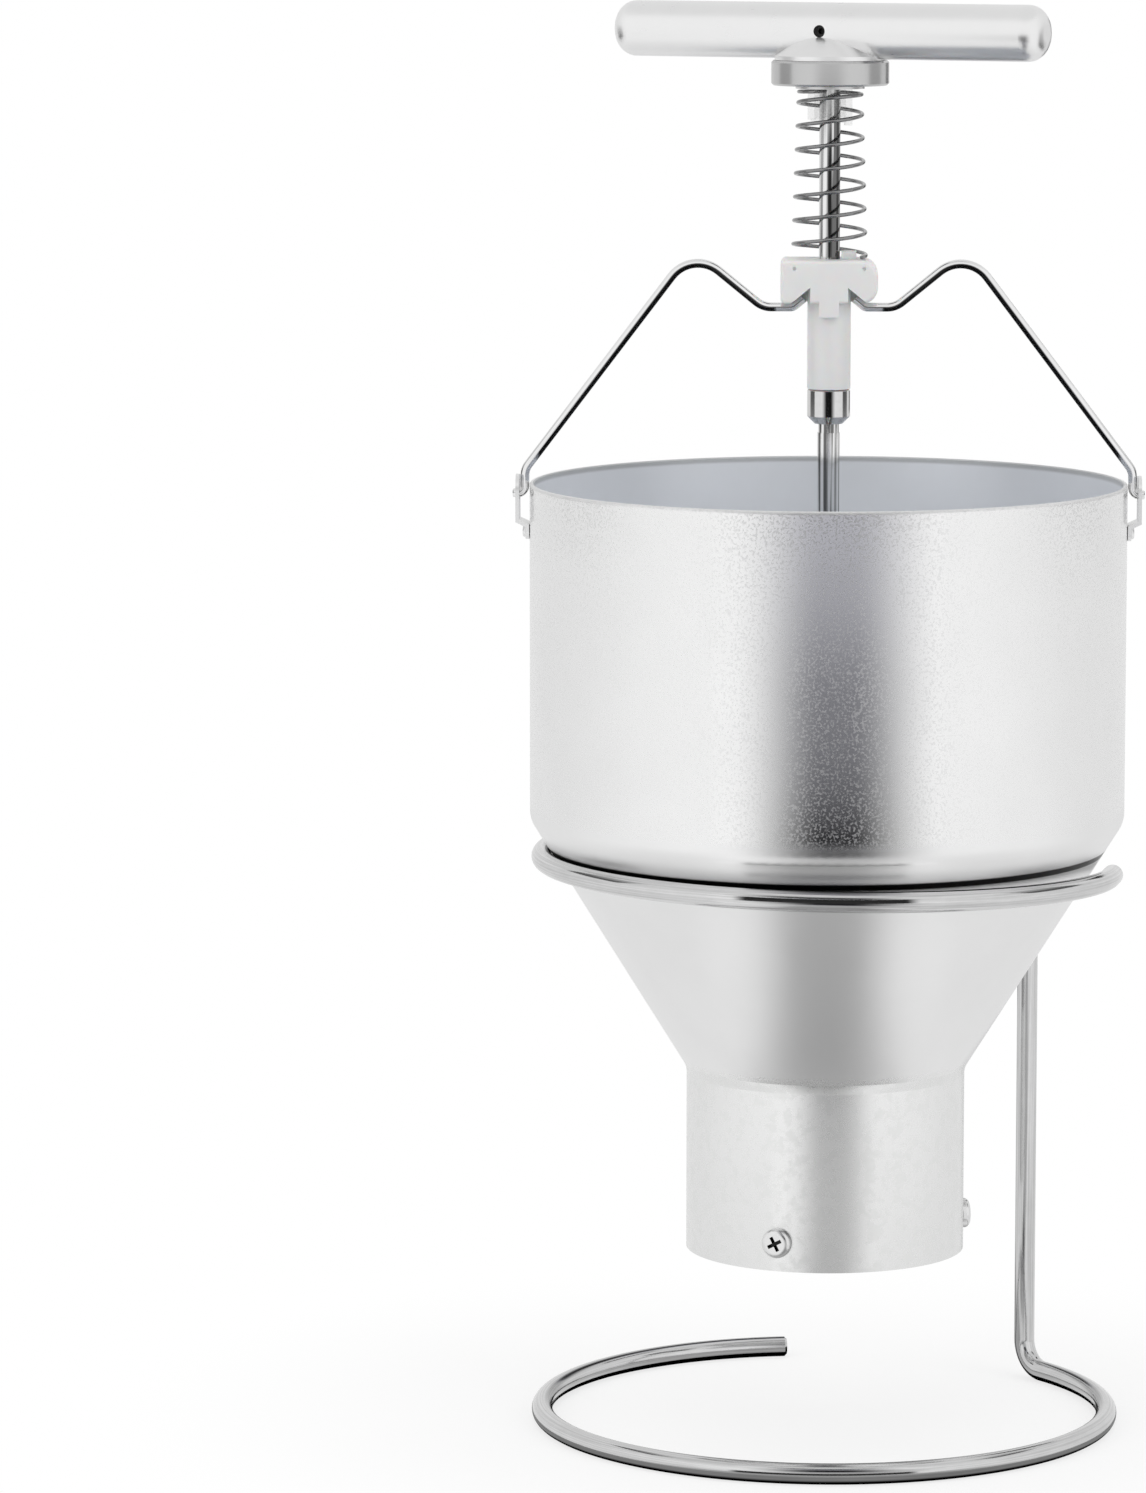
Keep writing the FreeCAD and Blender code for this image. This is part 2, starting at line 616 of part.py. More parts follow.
def make_outlet_barrel():
    """Insert in the outlet tube: a thick ring with the funnel and the metering bore."""
    outer = f"({TUBE_BORE} - slip)"
    groove_floor = f"({TUBE_BORE} - seal_section)"
    groove_half = "(seal_section / 2 + seal_squeeze)"
    top = "(bore_length + funnel_rise)"
    body = new_body("outlet_barrel")
    revolve(body, [
        ("bore_dia / 2", "0"), ("bore_dia / 2", "bore_length"), (f"{outer} - funnel_lip", top),
        (outer, top), (outer, f"seal_height + {groove_half}"),
        (groove_floor, f"seal_height + {groove_half}"),
        (groove_floor, f"seal_height - {groove_half}"), (outer, f"seal_height - {groove_half}"),
        (outer, "barrel_chamfer"), (f"{outer} - barrel_chamfer", "0"),
    ])
    hole = disc_sketch(body, "XZ_Plane", "0", "screw_height", "screw_dia + 2 * slip")
    drilling = extrude(body, hole, "tube_dia", "PartDesign::Pocket", reverse=True)
    ring = body.newObject("PartDesign::PolarPattern", "tapped_holes")
    ring.Originals = [drilling]
    ring.Axis = (hole, ["V_Axis"])
    ring.Angle = 360
    bind(ring, "Occurrences", "screw_count")
    body.Tip = ring
    document.recompute()
    place(body, FOOT, "screw_angle")
    keep(body, "outlet_barrel")


def make_barrel_seal():
    """Seal ring between the outlet barrel and the tube."""
    ring = document.addObject("Part::Torus", "barrel_seal")
    bind(ring, "Radius1", f"{TUBE_BORE} - seal_section / 2")
    bind(ring, "Radius2", "seal_section / 2")
    place(ring, f"{FOOT} + seal_height")
    keep(ring, "barrel_seal")


def make_outlet_screws():
    """Pan head screws with a cross recess, through the tube into the outlet barrel."""
    screws = []
    for number in range(int(read("screw_count"))):
        body = new_body(f"outlet_screw_{number + 1}")
        seat = "(tube_dia / 2 + slip)"
        revolve(body, [
            (f"{seat} - screw_reach", "0"), (f"{seat} + head_height", "0"),
            (f"{seat} + head_height", "head_dia / 2"), (seat, "head_dia / 2"),
            (seat, "screw_dia / 2"), (f"{seat} - screw_reach", "screw_dia / 2"),
        ], axis="H_Axis", role="XY_Plane")
        face = f"({seat} + head_height)"
        soften(body, "Fillet", "head_radius", axial_ring("head_dia / 2", [face]))
        for role in ("XZ_Plane", "XY_Plane"):
            inner, outer, half = f"{face} - cross_depth", f"{face} + overcut", "cross_length / 2"
            slot = outline(body, role, [(inner, f"-{half}"), (outer, f"-{half}"),
                                        (outer, half), (inner, half)])
            slot.AttachmentOffset = FreeCAD.Placement(Vec(), FreeCAD.Rotation(Vec(1, 0, 0), 1))
            bind(slot, ".AttachmentOffset.Rotation.Angle", "cross_angle")
            extrude(body, slot, "cross_width", "PartDesign::Pocket", centred=True)
        body.Placement = FreeCAD.Placement(Vec(), FreeCAD.Rotation(UP, 1))
        bind(body, ".Placement.Base.z", f"{FOOT} + screw_height")
        bind(body, ".Placement.Rotation.Angle", f"screw_angle - 90 + {number} * 360 / screw_count")
        screws.append(body)
    group("outlet_screws", screws)


def make_ear(label, turn):
    """Plate on the hopper wall that steps out round the bail arm, with a hole for its hook."""
    flange_top, ear_top = f"({EAR_FOOT} + ear_flange)", f"({EAR_FOOT} + ear_height)"
    step_top = f"({flange_top} + ear_step)"
    lift = f"ear_plate * tan(atan({EAR_JOGGLE} / ear_step) / 2)"
    body = new_body(label)
    side = outline(body, "XZ_Plane", [
        (EAR_FACE, EAR_FOOT), (f"{EAR_FACE} + ear_plate", EAR_FOOT),
        (f"{EAR_FACE} + ear_plate", f"{flange_top} - {lift}"),
        (EAR_OUTER, f"{step_top} - {lift}"), (EAR_OUTER, ear_top),
        (f"{EAR_OUTER} - ear_plate", ear_top), (f"{EAR_OUTER} - ear_plate", step_top),
        (EAR_FACE, flange_top),
    ])
    extrude(body, side, "ear_width", centred=True)
    half = read("ear_width / 2")

    def corner_at(height):
        return lambda edge: (near(edge.CenterOfMass.z, height)
                             and near(abs(edge.CenterOfMass.y), half)
                             and near(edge.BoundBox.ZLength, 0))
    soften(body, "Fillet", "ear_top_radius", corner_at(read(ear_top)))
    soften(body, "Fillet", "ear_foot_radius", corner_at(read(EAR_FOOT)))
    pierce(body, disc_sketch(body, "YZ_Plane", "0", f"{EAR_FOOT} + hook_rise",
                             "wire_dia + 2 * hook_play"))
    pierce(body, disc_sketch(body, "YZ_Plane", "0", f"{EAR_FOOT} + rivet_rise",
                             "rivet_dia + 2 * slip"))
    place(body, FOOT, turn)
    keep(body, label)


def make_ear_rivets():
    """One domed rivet through each ear and the hopper wall."""
    rivets = []
    for number, turn in enumerate(("0", "180")):
        body = new_body(f"ear_rivet_{number + 1}")
        head, tail = f"({EAR_FACE} + ear_plate + slip)", "(body_dia / 2 - shell_wall - slip)"
        ends = [f"{tail} - rivet_tail", f"{head} + rivet_dome"]
        revolve(body, [
            (ends[0], "0"), (ends[1], "0"), (ends[1], "rivet_head / 2"), (head, "rivet_head / 2"),
            (head, "rivet_dia / 2"), (tail, "rivet_dia / 2"), (tail, "rivet_head / 2"),
            (ends[0], "rivet_head / 2"),
        ], axis="H_Axis", role="XY_Plane")
        soften(body, "Fillet", "rivet_round", axial_ring("rivet_head / 2", ends))
        place(body, f"{FOOT} + {EAR_FOOT} + rivet_rise", turn)
        rivets.append(body)
    group("ear_rivets", rivets)


def make_bail_arm(label, side):
    """Wire arm from the hook in the ear, over a crest, to its end in the guide block."""
    upright = read("body_dia / 2 + 2 * run + wire_dia / 2")
    hook = read(f"{EAR_FOOT} + hook_rise")
    bend_foot = hook + read("arm_stand")
    wire_height = read(f"{BLOCK_FOOT} - {WIRE_DROP}")
    route = [
        (read(f"{EAR_OUTER} + hook_show"), hook),
        (upright, hook),
        (upright, bend_foot),
        (read("crest_reach"), read(f"{RIM} + crest_rise")),
        (read("block_width / 2 + dip_reach"), wire_height),
        (read(TIP_BEND_REACH), wire_height),
        (read("sleeve_dia / 2 + tip_reach"), wire_height + read("tip_rise")),
    ]
    radii = [read(name) for name in
             ("hook_radius", "arm_foot_radius", "crest_radius", "dip_radius", "tip_bend_radius")]
    points = [Vec(side * reach, 0, height) for reach, height in route]
    feature(label, tube_along(rounded_route(points, radii), read("wire_dia / 2")), FOOT)


def arm_seat(side):
    """Wedge that opens the block round an arm's rising end, from front, foot and bore."""
    slope = "(tip_rise / (tip_bend_reach - tip_reach))"
    lift = f"((wire_dia / 2 + 3 * run) * sqrt(1 + {slope} ^ 2) - {WIRE_DROP})"
    start, end = f"({TIP_BEND_REACH} + {lift} / {slope})", "(sleeve_dia / 2 + slip - overcut)"
    overshoot = f"({start} + overcut / {slope})"
    body = new_body("arm_seat")
    wedge = outline(body, "XZ_Plane", [
        (f"{side} * {overshoot}", "-overcut"),
        (f"{side} * {end}", f"{slope} * ({start} - {end})"), (f"{side} * {end}", "-overcut"),
    ])
    extrude(body, wedge, "block_depth / 2 + wire_dia / 2 + run + overcut")
    body.Placement.Base = Vec(0, 0, 0)
    bind(body, ".Placement.Base.y", "wire_dia / 2 + run")
    return body


def make_guide_block():
    """Moulded block with the sleeve's bore, the stop lug and seats for the arm ends."""
    half_width, half_depth = "block_width / 2", "block_depth / 2"
    body = new_body("guide_block_body")
    plan = outline(body, "XY_Plane", [
        (f"-{half_width}", f"-{half_depth}"), (half_width, f"-{half_depth}"),
        (half_width, half_depth), (f"-{half_width}", half_depth),
    ])
    extrude(body, plan, "block_height")
    for side, size in ((-1, "block_left_radius"), (1, "block_right_radius")):
        reach = side * read(half_width)
        soften(body, "Fillet", size,
               lambda edge: near(edge.CenterOfMass.x, reach)
               and near(edge.BoundBox.YLength, read("block_depth")))
    soften(body, "Fillet", "block_edge",
           lambda edge: near(abs(edge.CenterOfMass.y), read(half_depth))
           and near(edge.BoundBox.YLength, 0))
    tongue = upright_box("tongue", "tongue_width", "block_depth / 2 - sleeve_dia / 2 - slip",
                         "tongue_drop + block_height / 2",
                         ("-tongue_width / 2", f"-{half_depth}", "-tongue_drop"))
    lug = upright_box("lug", "lug_width", "lug_depth", "lug_height",
                      ("stop_dia / 2 + lug_over - lug_width", "-lug_depth / 2", "block_height"))
    solid = boolean("Fuse", "block_solid", body, tongue)
    bore = cylinder("block_bore", "sleeve_dia / 2 + slip", "block_height * 3", "-block_height")
    cuts = [bore]
    for side in (-1, 1):
        seat = arm_seat(side)
        mark = rod_tool("pin_mark", "pin_mark_dia / 2", "pin_mark_depth * 2", Vec(1, 0, 0), "90")
        bind(mark, ".Placement.Base.x", f"{side} * pin_mark_reach")
        bind(mark, ".Placement.Base.y", f"-{half_depth} + pin_mark_depth")
        bind(mark, ".Placement.Base.z", "block_height - pin_mark_drop")
        cuts += [seat, mark]
    tools = document.addObject("Part::MultiFuse", "block_cuts")
    tools.Shapes = cuts
    block = boolean("Fuse", "guide_block", boolean("Cut", "block_bored", solid, tools), lug)
    place(block, f"{FOOT} + {BLOCK_FOOT}")
    keep(block, "guide_block")


def make_guide_sleeve():
    """Nylon tube that guides the upper shaft, up to the block's lug."""
    bore, top = "shaft_dia / 2 + run", f"{BLOCK_TOP} - slip"
    turned_piece("guide_sleeve", [
        (bore, SLEEVE_FOOT), ("sleeve_dia / 2", SLEEVE_FOOT), ("sleeve_dia / 2", top), (bore, top),
    ])


# Return spring

def make_return_spring():
    """Open right-hand coil, wider at its foot, with a closed last turn under the washer."""
    wire = read("spring_wire")
    quarters = int(read("spring_quarters"))
    closed = int(read("closed_quarters"))
    foot_radius = read("(spring_foot_dia - spring_wire) / 2")
    head_radius = read("(spring_head_dia - spring_wire) / 2")
    foot = read(f"{BLOCK_TOP} + run + spring_wire / 2")
    head = read(f"{WASHER_FOOT} - run - spring_wire / 2")
    open_quarters = quarters - closed
    end_rise = read("foot_pitch") / 8 + read("closed_pitch") * (closed / 4 - 1 / 8)
    pitch = (head - foot - end_rise) / (open_quarters / 4)
    pitches = [read("foot_pitch")] + [pitch] * open_quarters + [read("closed_pitch")] * closed
    heights = [foot]
    for before, after in zip(pitches, pitches[1:]):
        heights.append(heights[-1] + (before + after) / 8)
    points, headings = [], []
    for number, (height, rise) in enumerate(zip(heights, pitches)):
        angle = math.radians(read("spring_start_angle") + 90 * number)
        radius = foot_radius + (head_radius - foot_radius) * number / quarters
        outward = Vec(math.cos(angle), math.sin(angle), 0)
        onward = Vec(-math.sin(angle), math.cos(angle), 0)
        narrowing = (head_radius - foot_radius) / (quarters * math.pi / 2)
        points.append(outward * radius + UP * height)
        headings.append((onward * radius + outward * narrowing
                         + UP * (rise / (2 * math.pi))).normalize())
    edges = []
    for number in range(quarters):
        edges += biarc(points[number], headings[number], points[number + 1], headings[number + 1])
    least_gap = least_self_gap(edges, wire)
    print(f"return spring: pitch {pitch:.2f}, least gap to itself {least_gap:.2f}")
    if least_gap < 0.4:
        raise RuntimeError("the return spring's turns are too close")
    feature("return_spring", tube_along(edges, wire / 2), FOOT)


def least_self_gap(edges, wire):
    """Least clear distance between points of the coil that are over half a turn apart."""
    per_edge = 6
    points = [edge.valueAt(edge.FirstParameter + (edge.LastParameter - edge.FirstParameter)
                           * step / per_edge)
              for edge in edges for step in range(per_edge)]
    half_turn = 4 * per_edge
    return min(first.distanceToPoint(second)
               for number, first in enumerate(points)
               for second in points[number + half_turn:]) - wire


# Plunger, from the cutter disc up to the handle

def make_cutter_disc():
    """Disc that closes the metering bore, with a seat for the rod and a countersink."""
    outer = "(bore_dia / 2 - run)"
    rod_seat = "(lower_rod_dia / 2 + slip)"
    screw_hole = "(csk_thread / 2 + slip)"
    turned_piece("cutter_disc", [
        ("csk_dia / 2 + slip", "mouth_recess"), (outer, "mouth_recess"),
        (outer, f"{CUTTER_TOP} - cutter_chamfer"),
        (f"{outer} - cutter_chamfer", CUTTER_TOP), (rod_seat, CUTTER_TOP),
        (rod_seat, f"{CUTTER_TOP} - cutter_seat"), (screw_hole, f"{CUTTER_TOP} - cutter_seat"),
        (screw_hole, "mouth_recess + csk_height"),
    ])


def make_cutter_screw():
    """Countersunk screw, flush with the foot of the cutter disc."""
    body = new_body("cutter_screw_blank")
    revolve(body, [
        ("0", "0"), ("csk_dia / 2", "0"), ("csk_thread / 2", "csk_height - slip"),
        ("csk_thread / 2", "csk_length"), ("0", "csk_length"),
    ])
    socket = prism("cutter_screw_socket", "hex_socket", "hex_depth + overcut", "-overcut")
    screw = boolean("Cut", "cutter_screw", body, socket)
    place(screw, f"{FOOT} + mouth_recess")
    keep(screw, "cutter_screw")


def make_spacer_tube():
    """Tube on the rod that keeps piston and cutter disc one portion apart."""
    bore = "lower_rod_dia / 2 + slip"
    turned_piece("spacer_tube", [
        (bore, CUTTER_TOP), ("spacer_dia / 2", CUTTER_TOP),
        ("spacer_dia / 2", PISTON_FOOT), (bore, PISTON_FOOT),
    ])


def make_piston():
    """Nylon piston with wiper grooves."""
    outer = "(bore_dia / 2 - run)"
    bore = "(lower_rod_dia / 2 + slip)"
    corners = [
        (bore, PISTON_FOOT), (f"{outer} - piston_chamfer", PISTON_FOOT),
        (outer, f"{PISTON_FOOT} + piston_chamfer"),
    ]
    first = f"({PISTON_FOOT} + piston_height / 2 - groove_pitch * (groove_count - 1) / 2)"
    for number in range(int(read("groove_count"))):
        middle = f"({first} + {number} * groove_pitch)"
        corners += [
            (outer, f"{middle} - groove_width / 2"),
            (f"{outer} - groove_depth", f"{middle} - groove_width / 2"),
            (f"{outer} - groove_depth", f"{middle} + groove_width / 2"),
            (outer, f"{middle} + groove_width / 2"),
        ]
    corners += [
        (outer, f"{PISTON_TOP} - piston_chamfer"), (f"{outer} - piston_chamfer", PISTON_TOP),
        (bore, PISTON_TOP),
    ]
    turned_piece("piston", corners)


def make_piston_nut():
    """Hexagon nut that clamps the piston and the spacer tube on the rod."""
    blank = prism("nut_blank", "nut_flats", "nut_height")
    body = new_body("nut_chamfers")
    corner, flat = "(nut_flats / sqrt(3))", "(nut_face_dia / 2)"
    lift = f"(({corner} - {flat}) * tan(nut_bevel_angle))"
    revolve(body, [
        ("lower_rod_dia / 2 + slip", "0"), (flat, "0"), (corner, lift),
        (corner, f"nut_height - {lift}"), (flat, "nut_height"),
        ("lower_rod_dia / 2 + slip", "nut_height"),
    ])
    nut = boolean("Common", "piston_nut", blank, body)
    place(nut, f"{FOOT} + {PISTON_TOP}")
    keep(nut, "piston_nut")


def make_lower_rod():
    """Rod from the cutter disc up to its neck in the ferrule, tapped at its foot."""
    foot = f"({CUTTER_TOP} - cutter_seat + slip)"
    shoulder = f"({FERRULE_FOOT} - neck_show)"
    radius, neck = "lower_rod_dia / 2", "shaft_dia / 2"
    tapped = "(csk_thread / 2 + slip)"
    tapped_end = "(mouth_recess + csk_length + 2 * run)"
    turned_piece("lower_rod", [
        (tapped, foot), (radius, foot), (radius, shoulder), (neck, shoulder),
        (neck, f"{FERRULE_MIDDLE} - slip"), ("0", f"{FERRULE_MIDDLE} - slip"),
        ("0", tapped_end), (tapped, tapped_end),
    ])


def make_coupling_ferrule():
    """Ferrule that joins the two rods and stops against the guide sleeve."""
    bore = "(shaft_dia / 2 + slip)"
    radius = "ferrule_dia / 2"
    turned_piece("coupling_ferrule", [
        (bore, FERRULE_FOOT), (f"{radius} - ferrule_chamfer", FERRULE_FOOT),
        (radius, f"{FERRULE_FOOT} + ferrule_chamfer"), (radius, f"{FERRULE_TOP} - ferrule_edge"),
        (f"{radius} - ferrule_edge", FERRULE_TOP), (bore, FERRULE_TOP),
    ])


def make_upper_shaft():
    """Polished shaft from the ferrule through sleeve, spring and dial into the handle."""
    foot, top = f"({FERRULE_MIDDLE} + slip)", f"({HUB_FOOT} + shaft_seat - slip)"
    radius = "shaft_dia / 2"
    turned_piece("upper_shaft", [
        ("0", foot), (f"{radius} - shaft_chamfer", foot), (radius, f"{foot} + shaft_chamfer"),
        (radius, f"{top} - shaft_chamfer"), (f"{radius} - shaft_chamfer", top), ("0", top),
    ])


def make_handle_bar():
    """Round bar with rounded ends and a flared hub, bored for the shaft and its set screw."""
    body = new_body("handle_blank")
    end, radius = "bar_length / 2", "bar_dia / 2"
    revolve(body, [(f"-{end}", "0"), (end, "0"), (end, radius), (f"-{end}", radius)],
            axis="H_Axis", role="XY_Plane")
    soften(body, "Fillet", "bar_end_radius",
           lambda edge: isinstance(edge.Curve, Part.Circle)
           and near(edge.Curve.Radius, read(radius)))
    hub = new_body("handle_hub")
    low = "(-bar_dia / 2 - hub_show)"
    revolve(hub, [
        ("0", low), ("hub_dia / 2", low), ("hub_dia / 2", f"{low} + hub_edge"),
        ("hub_top_dia / 2", f"{low} + hub_rise"), ("0", f"{low} + hub_rise"),
    ])
    whole = boolean("Fuse", "handle_whole", body, hub)
    bore = cylinder("handle_bore", "shaft_dia / 2 + slip", "shaft_seat + overcut", f"{low} - overcut")
    screw_hole = rod_tool("grub_hole", "grub_dia / 2 + slip", "bar_dia", Vec(1, 0, 0), "90")
    tools = boolean("Fuse", "handle_cuts", bore, screw_hole)
    handle = boolean("Cut", "handle_bar", whole, tools)
    place(handle, f"{FOOT} + {BAR_HEIGHT}", "bar_angle")
    keep(handle, "handle_bar")


def make_handle_set_screw():
    """Socket set screw against the shaft, sunk in the front of the bar."""
    blank = cylinder("grub_blank", "grub_dia / 2", "grub_length")
    socket = prism("grub_socket", "grub_socket", "grub_socket_depth + overcut",
                   "grub_length - grub_socket_depth")
    screw = boolean("Cut", "handle_set_screw", blank, socket)
    tilt = FreeCAD.Rotation(Vec(1, 0, 0), 90)
    turn = FreeCAD.Rotation(UP, read("bar_angle"))
    front = turn.multVec(Vec(0, -read("shaft_dia / 2 + slip"), 0))
    screw.Placement = FreeCAD.Placement(front, turn.multiply(tilt))
    bind(screw, ".Placement.Base.z", f"{FOOT} + {BAR_HEIGHT}")
    keep(screw, "handle_set_screw")


# Dial and what the spring bears on

def make_spring_washer():
    """Washer between the top of the spring and the dial."""
    bore, radius = "(stop_dia / 2 + washer_play)", "(spring_head_dia / 2 + washer_edge)"
    top = f"{WASHER_FOOT} + washer_thick"
    turned_piece("spring_washer", [
        (bore, WASHER_FOOT), (radius, WASHER_FOOT), (radius, top), (bore, top),
    ])


def make_thickness_dial():
    """Knob under the handle, with a seat for the stop sleeve."""
    radius, bore = "dial_dia / 2", "(shaft_dia / 2 + run)"
    seat, seat_top = "(stop_dia / 2 + slip)", f"({DIAL_FOOT} + stop_seat)"
    turned_piece("thickness_dial", [
        (seat, DIAL_FOOT), (f"{radius} - dial_chamfer", DIAL_FOOT),
        (radius, f"{DIAL_FOOT} + dial_chamfer"), (radius, f"{DIAL_TOP} - dial_chamfer"),
        (f"{radius} - dial_chamfer", DIAL_TOP), (bore, DIAL_TOP), (bore, seat_top),
        (seat, seat_top),
    ])


def make_stop_sleeve():
    """Sleeve under the dial whose stepped foot sets how deep the plunger may go."""
    top = f"({DIAL_FOOT} + stop_seat - slip)"
    outer = cylinder("stop_outer", "stop_dia / 2", f"{top} - {STOP_FOOT}", STOP_FOOT)
    hollow = cylinder("stop_hollow", "stop_bore / 2", f"{top} - {STOP_FOOT} + 2 * overcut",
                      f"{STOP_FOOT} - overcut")
    steps = []
    for number in range(1, int(read("step_count"))):
        steps.append(cylinder(
            f"stop_step_{number}", "stop_dia", f"{number} * step_rise + overcut",
            f"{STOP_FOOT} - overcut", angle="360 / step_count",
            turn=f"({number} - 0.5) * 360 / step_count"))
    tools = document.addObject("Part::MultiFuse", "stop_cuts")
    tools.Shapes = [hollow] + steps
    sleeve = boolean("Cut", "stop_sleeve", outer, tools)
    place(sleeve, FOOT)
    keep(sleeve, "stop_sleeve")


make_stand_rod()
make_hopper_shell()
make_outlet_barrel()
make_barrel_seal()
make_outlet_screws()
make_ear("ear_right", "0")
make_ear("ear_left", "180")
make_ear_rivets()
make_bail_arm("bail_arm_left", -1)
make_bail_arm("bail_arm_right", 1)
make_guide_block()
make_guide_sleeve()
make_return_spring()
make_cutter_disc()
make_cutter_screw()
make_spacer_tube()
make_piston()
make_piston_nut()
make_lower_rod()
make_coupling_ferrule()
make_upper_shaft()
make_handle_bar()
make_handle_set_screw()
make_spring_washer()
make_thickness_dial()
make_stop_sleeve()

document.recompute()
for item in document.Objects:
    if "Invalid" in item.State or "Error" in item.State:
        raise RuntimeError(f"{item.Name} ({item.Label}) failed to build")
for item in nodes:
    if item.Shape.isNull() or not item.Shape.isValid() or not item.Shape.Solids:
        raise RuntimeError(f"{item.Label} has no valid solid")

os.makedirs("parts", exist_ok=True)
for item in nodes:
    item.Shape.exportStep(f"parts/{item.Label}.step")
    box = item.Shape.BoundBox
    print(f"{item.Label}: {len(item.Shape.Solids)} solid, volume {item.Shape.Volume:.0f},"
          f" z {box.ZMin:.1f} to {box.ZMax:.1f}")
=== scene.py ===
"""Looks of the donut batter dispenser: bent and wound pieces, metal and plastic finishes, and a
light tent. Everything is in metres, in the frame of the packed model: origin on the table at the
centre of the base ring, +Z up, +X to the right of the front view, +Y to the back.
"""
import math

import bpy
import numpy as np
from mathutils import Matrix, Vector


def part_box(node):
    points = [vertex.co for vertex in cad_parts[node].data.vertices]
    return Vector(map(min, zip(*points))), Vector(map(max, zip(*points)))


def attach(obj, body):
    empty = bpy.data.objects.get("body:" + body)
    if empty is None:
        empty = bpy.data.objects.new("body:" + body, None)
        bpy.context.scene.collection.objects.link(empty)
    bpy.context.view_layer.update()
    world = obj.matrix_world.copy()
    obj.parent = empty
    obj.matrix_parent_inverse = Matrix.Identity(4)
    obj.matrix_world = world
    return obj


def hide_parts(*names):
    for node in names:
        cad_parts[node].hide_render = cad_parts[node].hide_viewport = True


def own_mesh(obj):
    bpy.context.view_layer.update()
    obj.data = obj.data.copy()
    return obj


bl_info = {
    "name": "Batter Dispenser Looks",
    "version": (1, 0, 0),
    "blender": (4, 5, 0),
    "location": "3D View > Sidebar > Dispenser",
    "description": "Bends, winds and finishes a hand plunger dispenser for batter rings",
    "category": "Object",
}

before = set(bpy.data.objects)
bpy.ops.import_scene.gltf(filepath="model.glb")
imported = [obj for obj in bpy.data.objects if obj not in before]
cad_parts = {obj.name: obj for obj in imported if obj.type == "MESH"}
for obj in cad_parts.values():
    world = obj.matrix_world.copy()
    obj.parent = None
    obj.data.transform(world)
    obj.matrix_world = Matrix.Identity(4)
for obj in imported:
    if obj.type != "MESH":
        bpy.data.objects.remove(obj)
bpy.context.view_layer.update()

# The hopper: height of its rim, how far down the matt lip, the painted shade line under it and
# the grained wall reach, the cone from tube to wall, and the heights between which painted
# contact shade darkens the cone where the ring bears on it
RIM = float(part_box("hopper_shell")[1][2])
LIP = 0.0011
SHADE_LINE_UNDER_LIP = 0.0024
WALL_HEIGHT = 0.110
TUBE_RADIUS = 0.047
WALL_RADIUS = 0.100
CONE_FOOT = 0.122
CONE_HEIGHT = 0.085
CONTACT_SHADE_LINE = (0.1957, 0.1984)

# An arm's corners from the ear to the block, as reach and height, and the radii of its bends
ARM_CORNERS = ((0.10575, 0.3162), (0.1017, 0.3162), (0.1017, 0.3242), (0.0457, 0.398),
               (0.0221, 0.3788), (0.0121, 0.3788), (0.00845, 0.3818))
ARM_BENDS = (0.0024, 0.006, 0.011, 0.008, 0.0026)
# Distances from the middle between which an arm runs free and its underside carries a painted dark
# reflection
ARM_FREE = (0.0172, 0.0985)

# Turns of the three screws round the tube, a head's diameter, the distance of its face from the
# axis, and the radius and depth of its cross recess
SCREW_TURNS = tuple(math.radians(-19.6 + turn) for turn in (0, 120, 240))
SCREW_HEAD = 0.010
SCREW_FACE = 0.04985
RECESS_RADIUS = 0.0026
RECESS_DEPTH = 0.004

# The stand's rod
ROD_DIA = 0.007

# Points along a ring of the stand, its post, its straight end and a bend, steps along a quarter
# turn of the spring, and the angle past which an edge shows sharp
RING_POINTS = 230
POST_POINTS = 24
TAIL_POINTS = 6
BEND_POINTS = 14
QUARTER_STEPS = 20
SHARP_EDGE = math.radians(38)

UP = np.array([0.0, 0.0, 1.0])


# Surfaces

def skin(name, points, poles):
    """Object whose mesh covers a grid of points, given as rows of closed sections.

    Cell (i, j) joins rows i and i + 1 with columns j and j + 1, and the last column joins the
    first. The two poles close the open ends with fans. The UV map holds metres: in U the steps
    between the rows' middles, added up, and in V the way round the widest section.
    """
    rows, columns = points.shape[:2]
    index = np.arange(rows * columns).reshape(rows, columns)
    near, far = index[:-1], index[1:]
    quads = np.stack([near, np.roll(near, -1, axis=1), np.roll(far, -1, axis=1), far], axis=-1)
    steps = np.linalg.norm(np.diff(points.mean(axis=1), axis=0), axis=1)
    along = np.concatenate([[0.0], np.cumsum(steps)])
    sections = np.concatenate([points, points[:, :1]], axis=1)
    girth = np.linalg.norm(np.diff(sections, axis=1), axis=2).sum(axis=1).max()
    around = np.linspace(0.0, girth, columns + 1)
    u, v = np.meshgrid(along[:-1], around[:-1], indexing="ij")
    u_far, v_far = np.meshgrid(along[1:], around[1:], indexing="ij")
    quad_uv = np.stack([np.stack([u, v], -1), np.stack([u, v_far], -1),
                        np.stack([u_far, v_far], -1), np.stack([u_far, v], -1)], axis=2)
    faces = quads.reshape(-1, 4).tolist()
    corner_uv = [quad_uv.reshape(-1, 2)]
    first, last = index[0], index[-1]
    for tip, fan, place in ((0, (np.roll(first, -1), first), along[0]),
                            (1, (last, np.roll(last, -1)), along[-1])):
        faces += np.stack([*fan, np.full(columns, index.size + tip)], axis=-1).tolist()
        corner_uv.append(np.stack([np.full(columns * 3, place), np.repeat(around[:-1], 3)],
                                  axis=-1))
    mesh = bpy.data.meshes.new(name)
    mesh.from_pydata(np.concatenate([points.reshape(-1, 3), poles]), [], faces)
    layer = mesh.uv_layers.new(name="surface")
    layer.data.foreach_set("uv", np.concatenate(corner_uv).astype(np.float32).ravel())
    mesh.polygons.foreach_set("use_smooth", np.ones(len(faces), dtype=bool))
    mesh.set_sharp_from_angle(angle=SHARP_EDGE)
    mesh.update()
    piece = bpy.data.objects.new(name, mesh)
    bpy.context.scene.collection.objects.link(piece)
    return piece


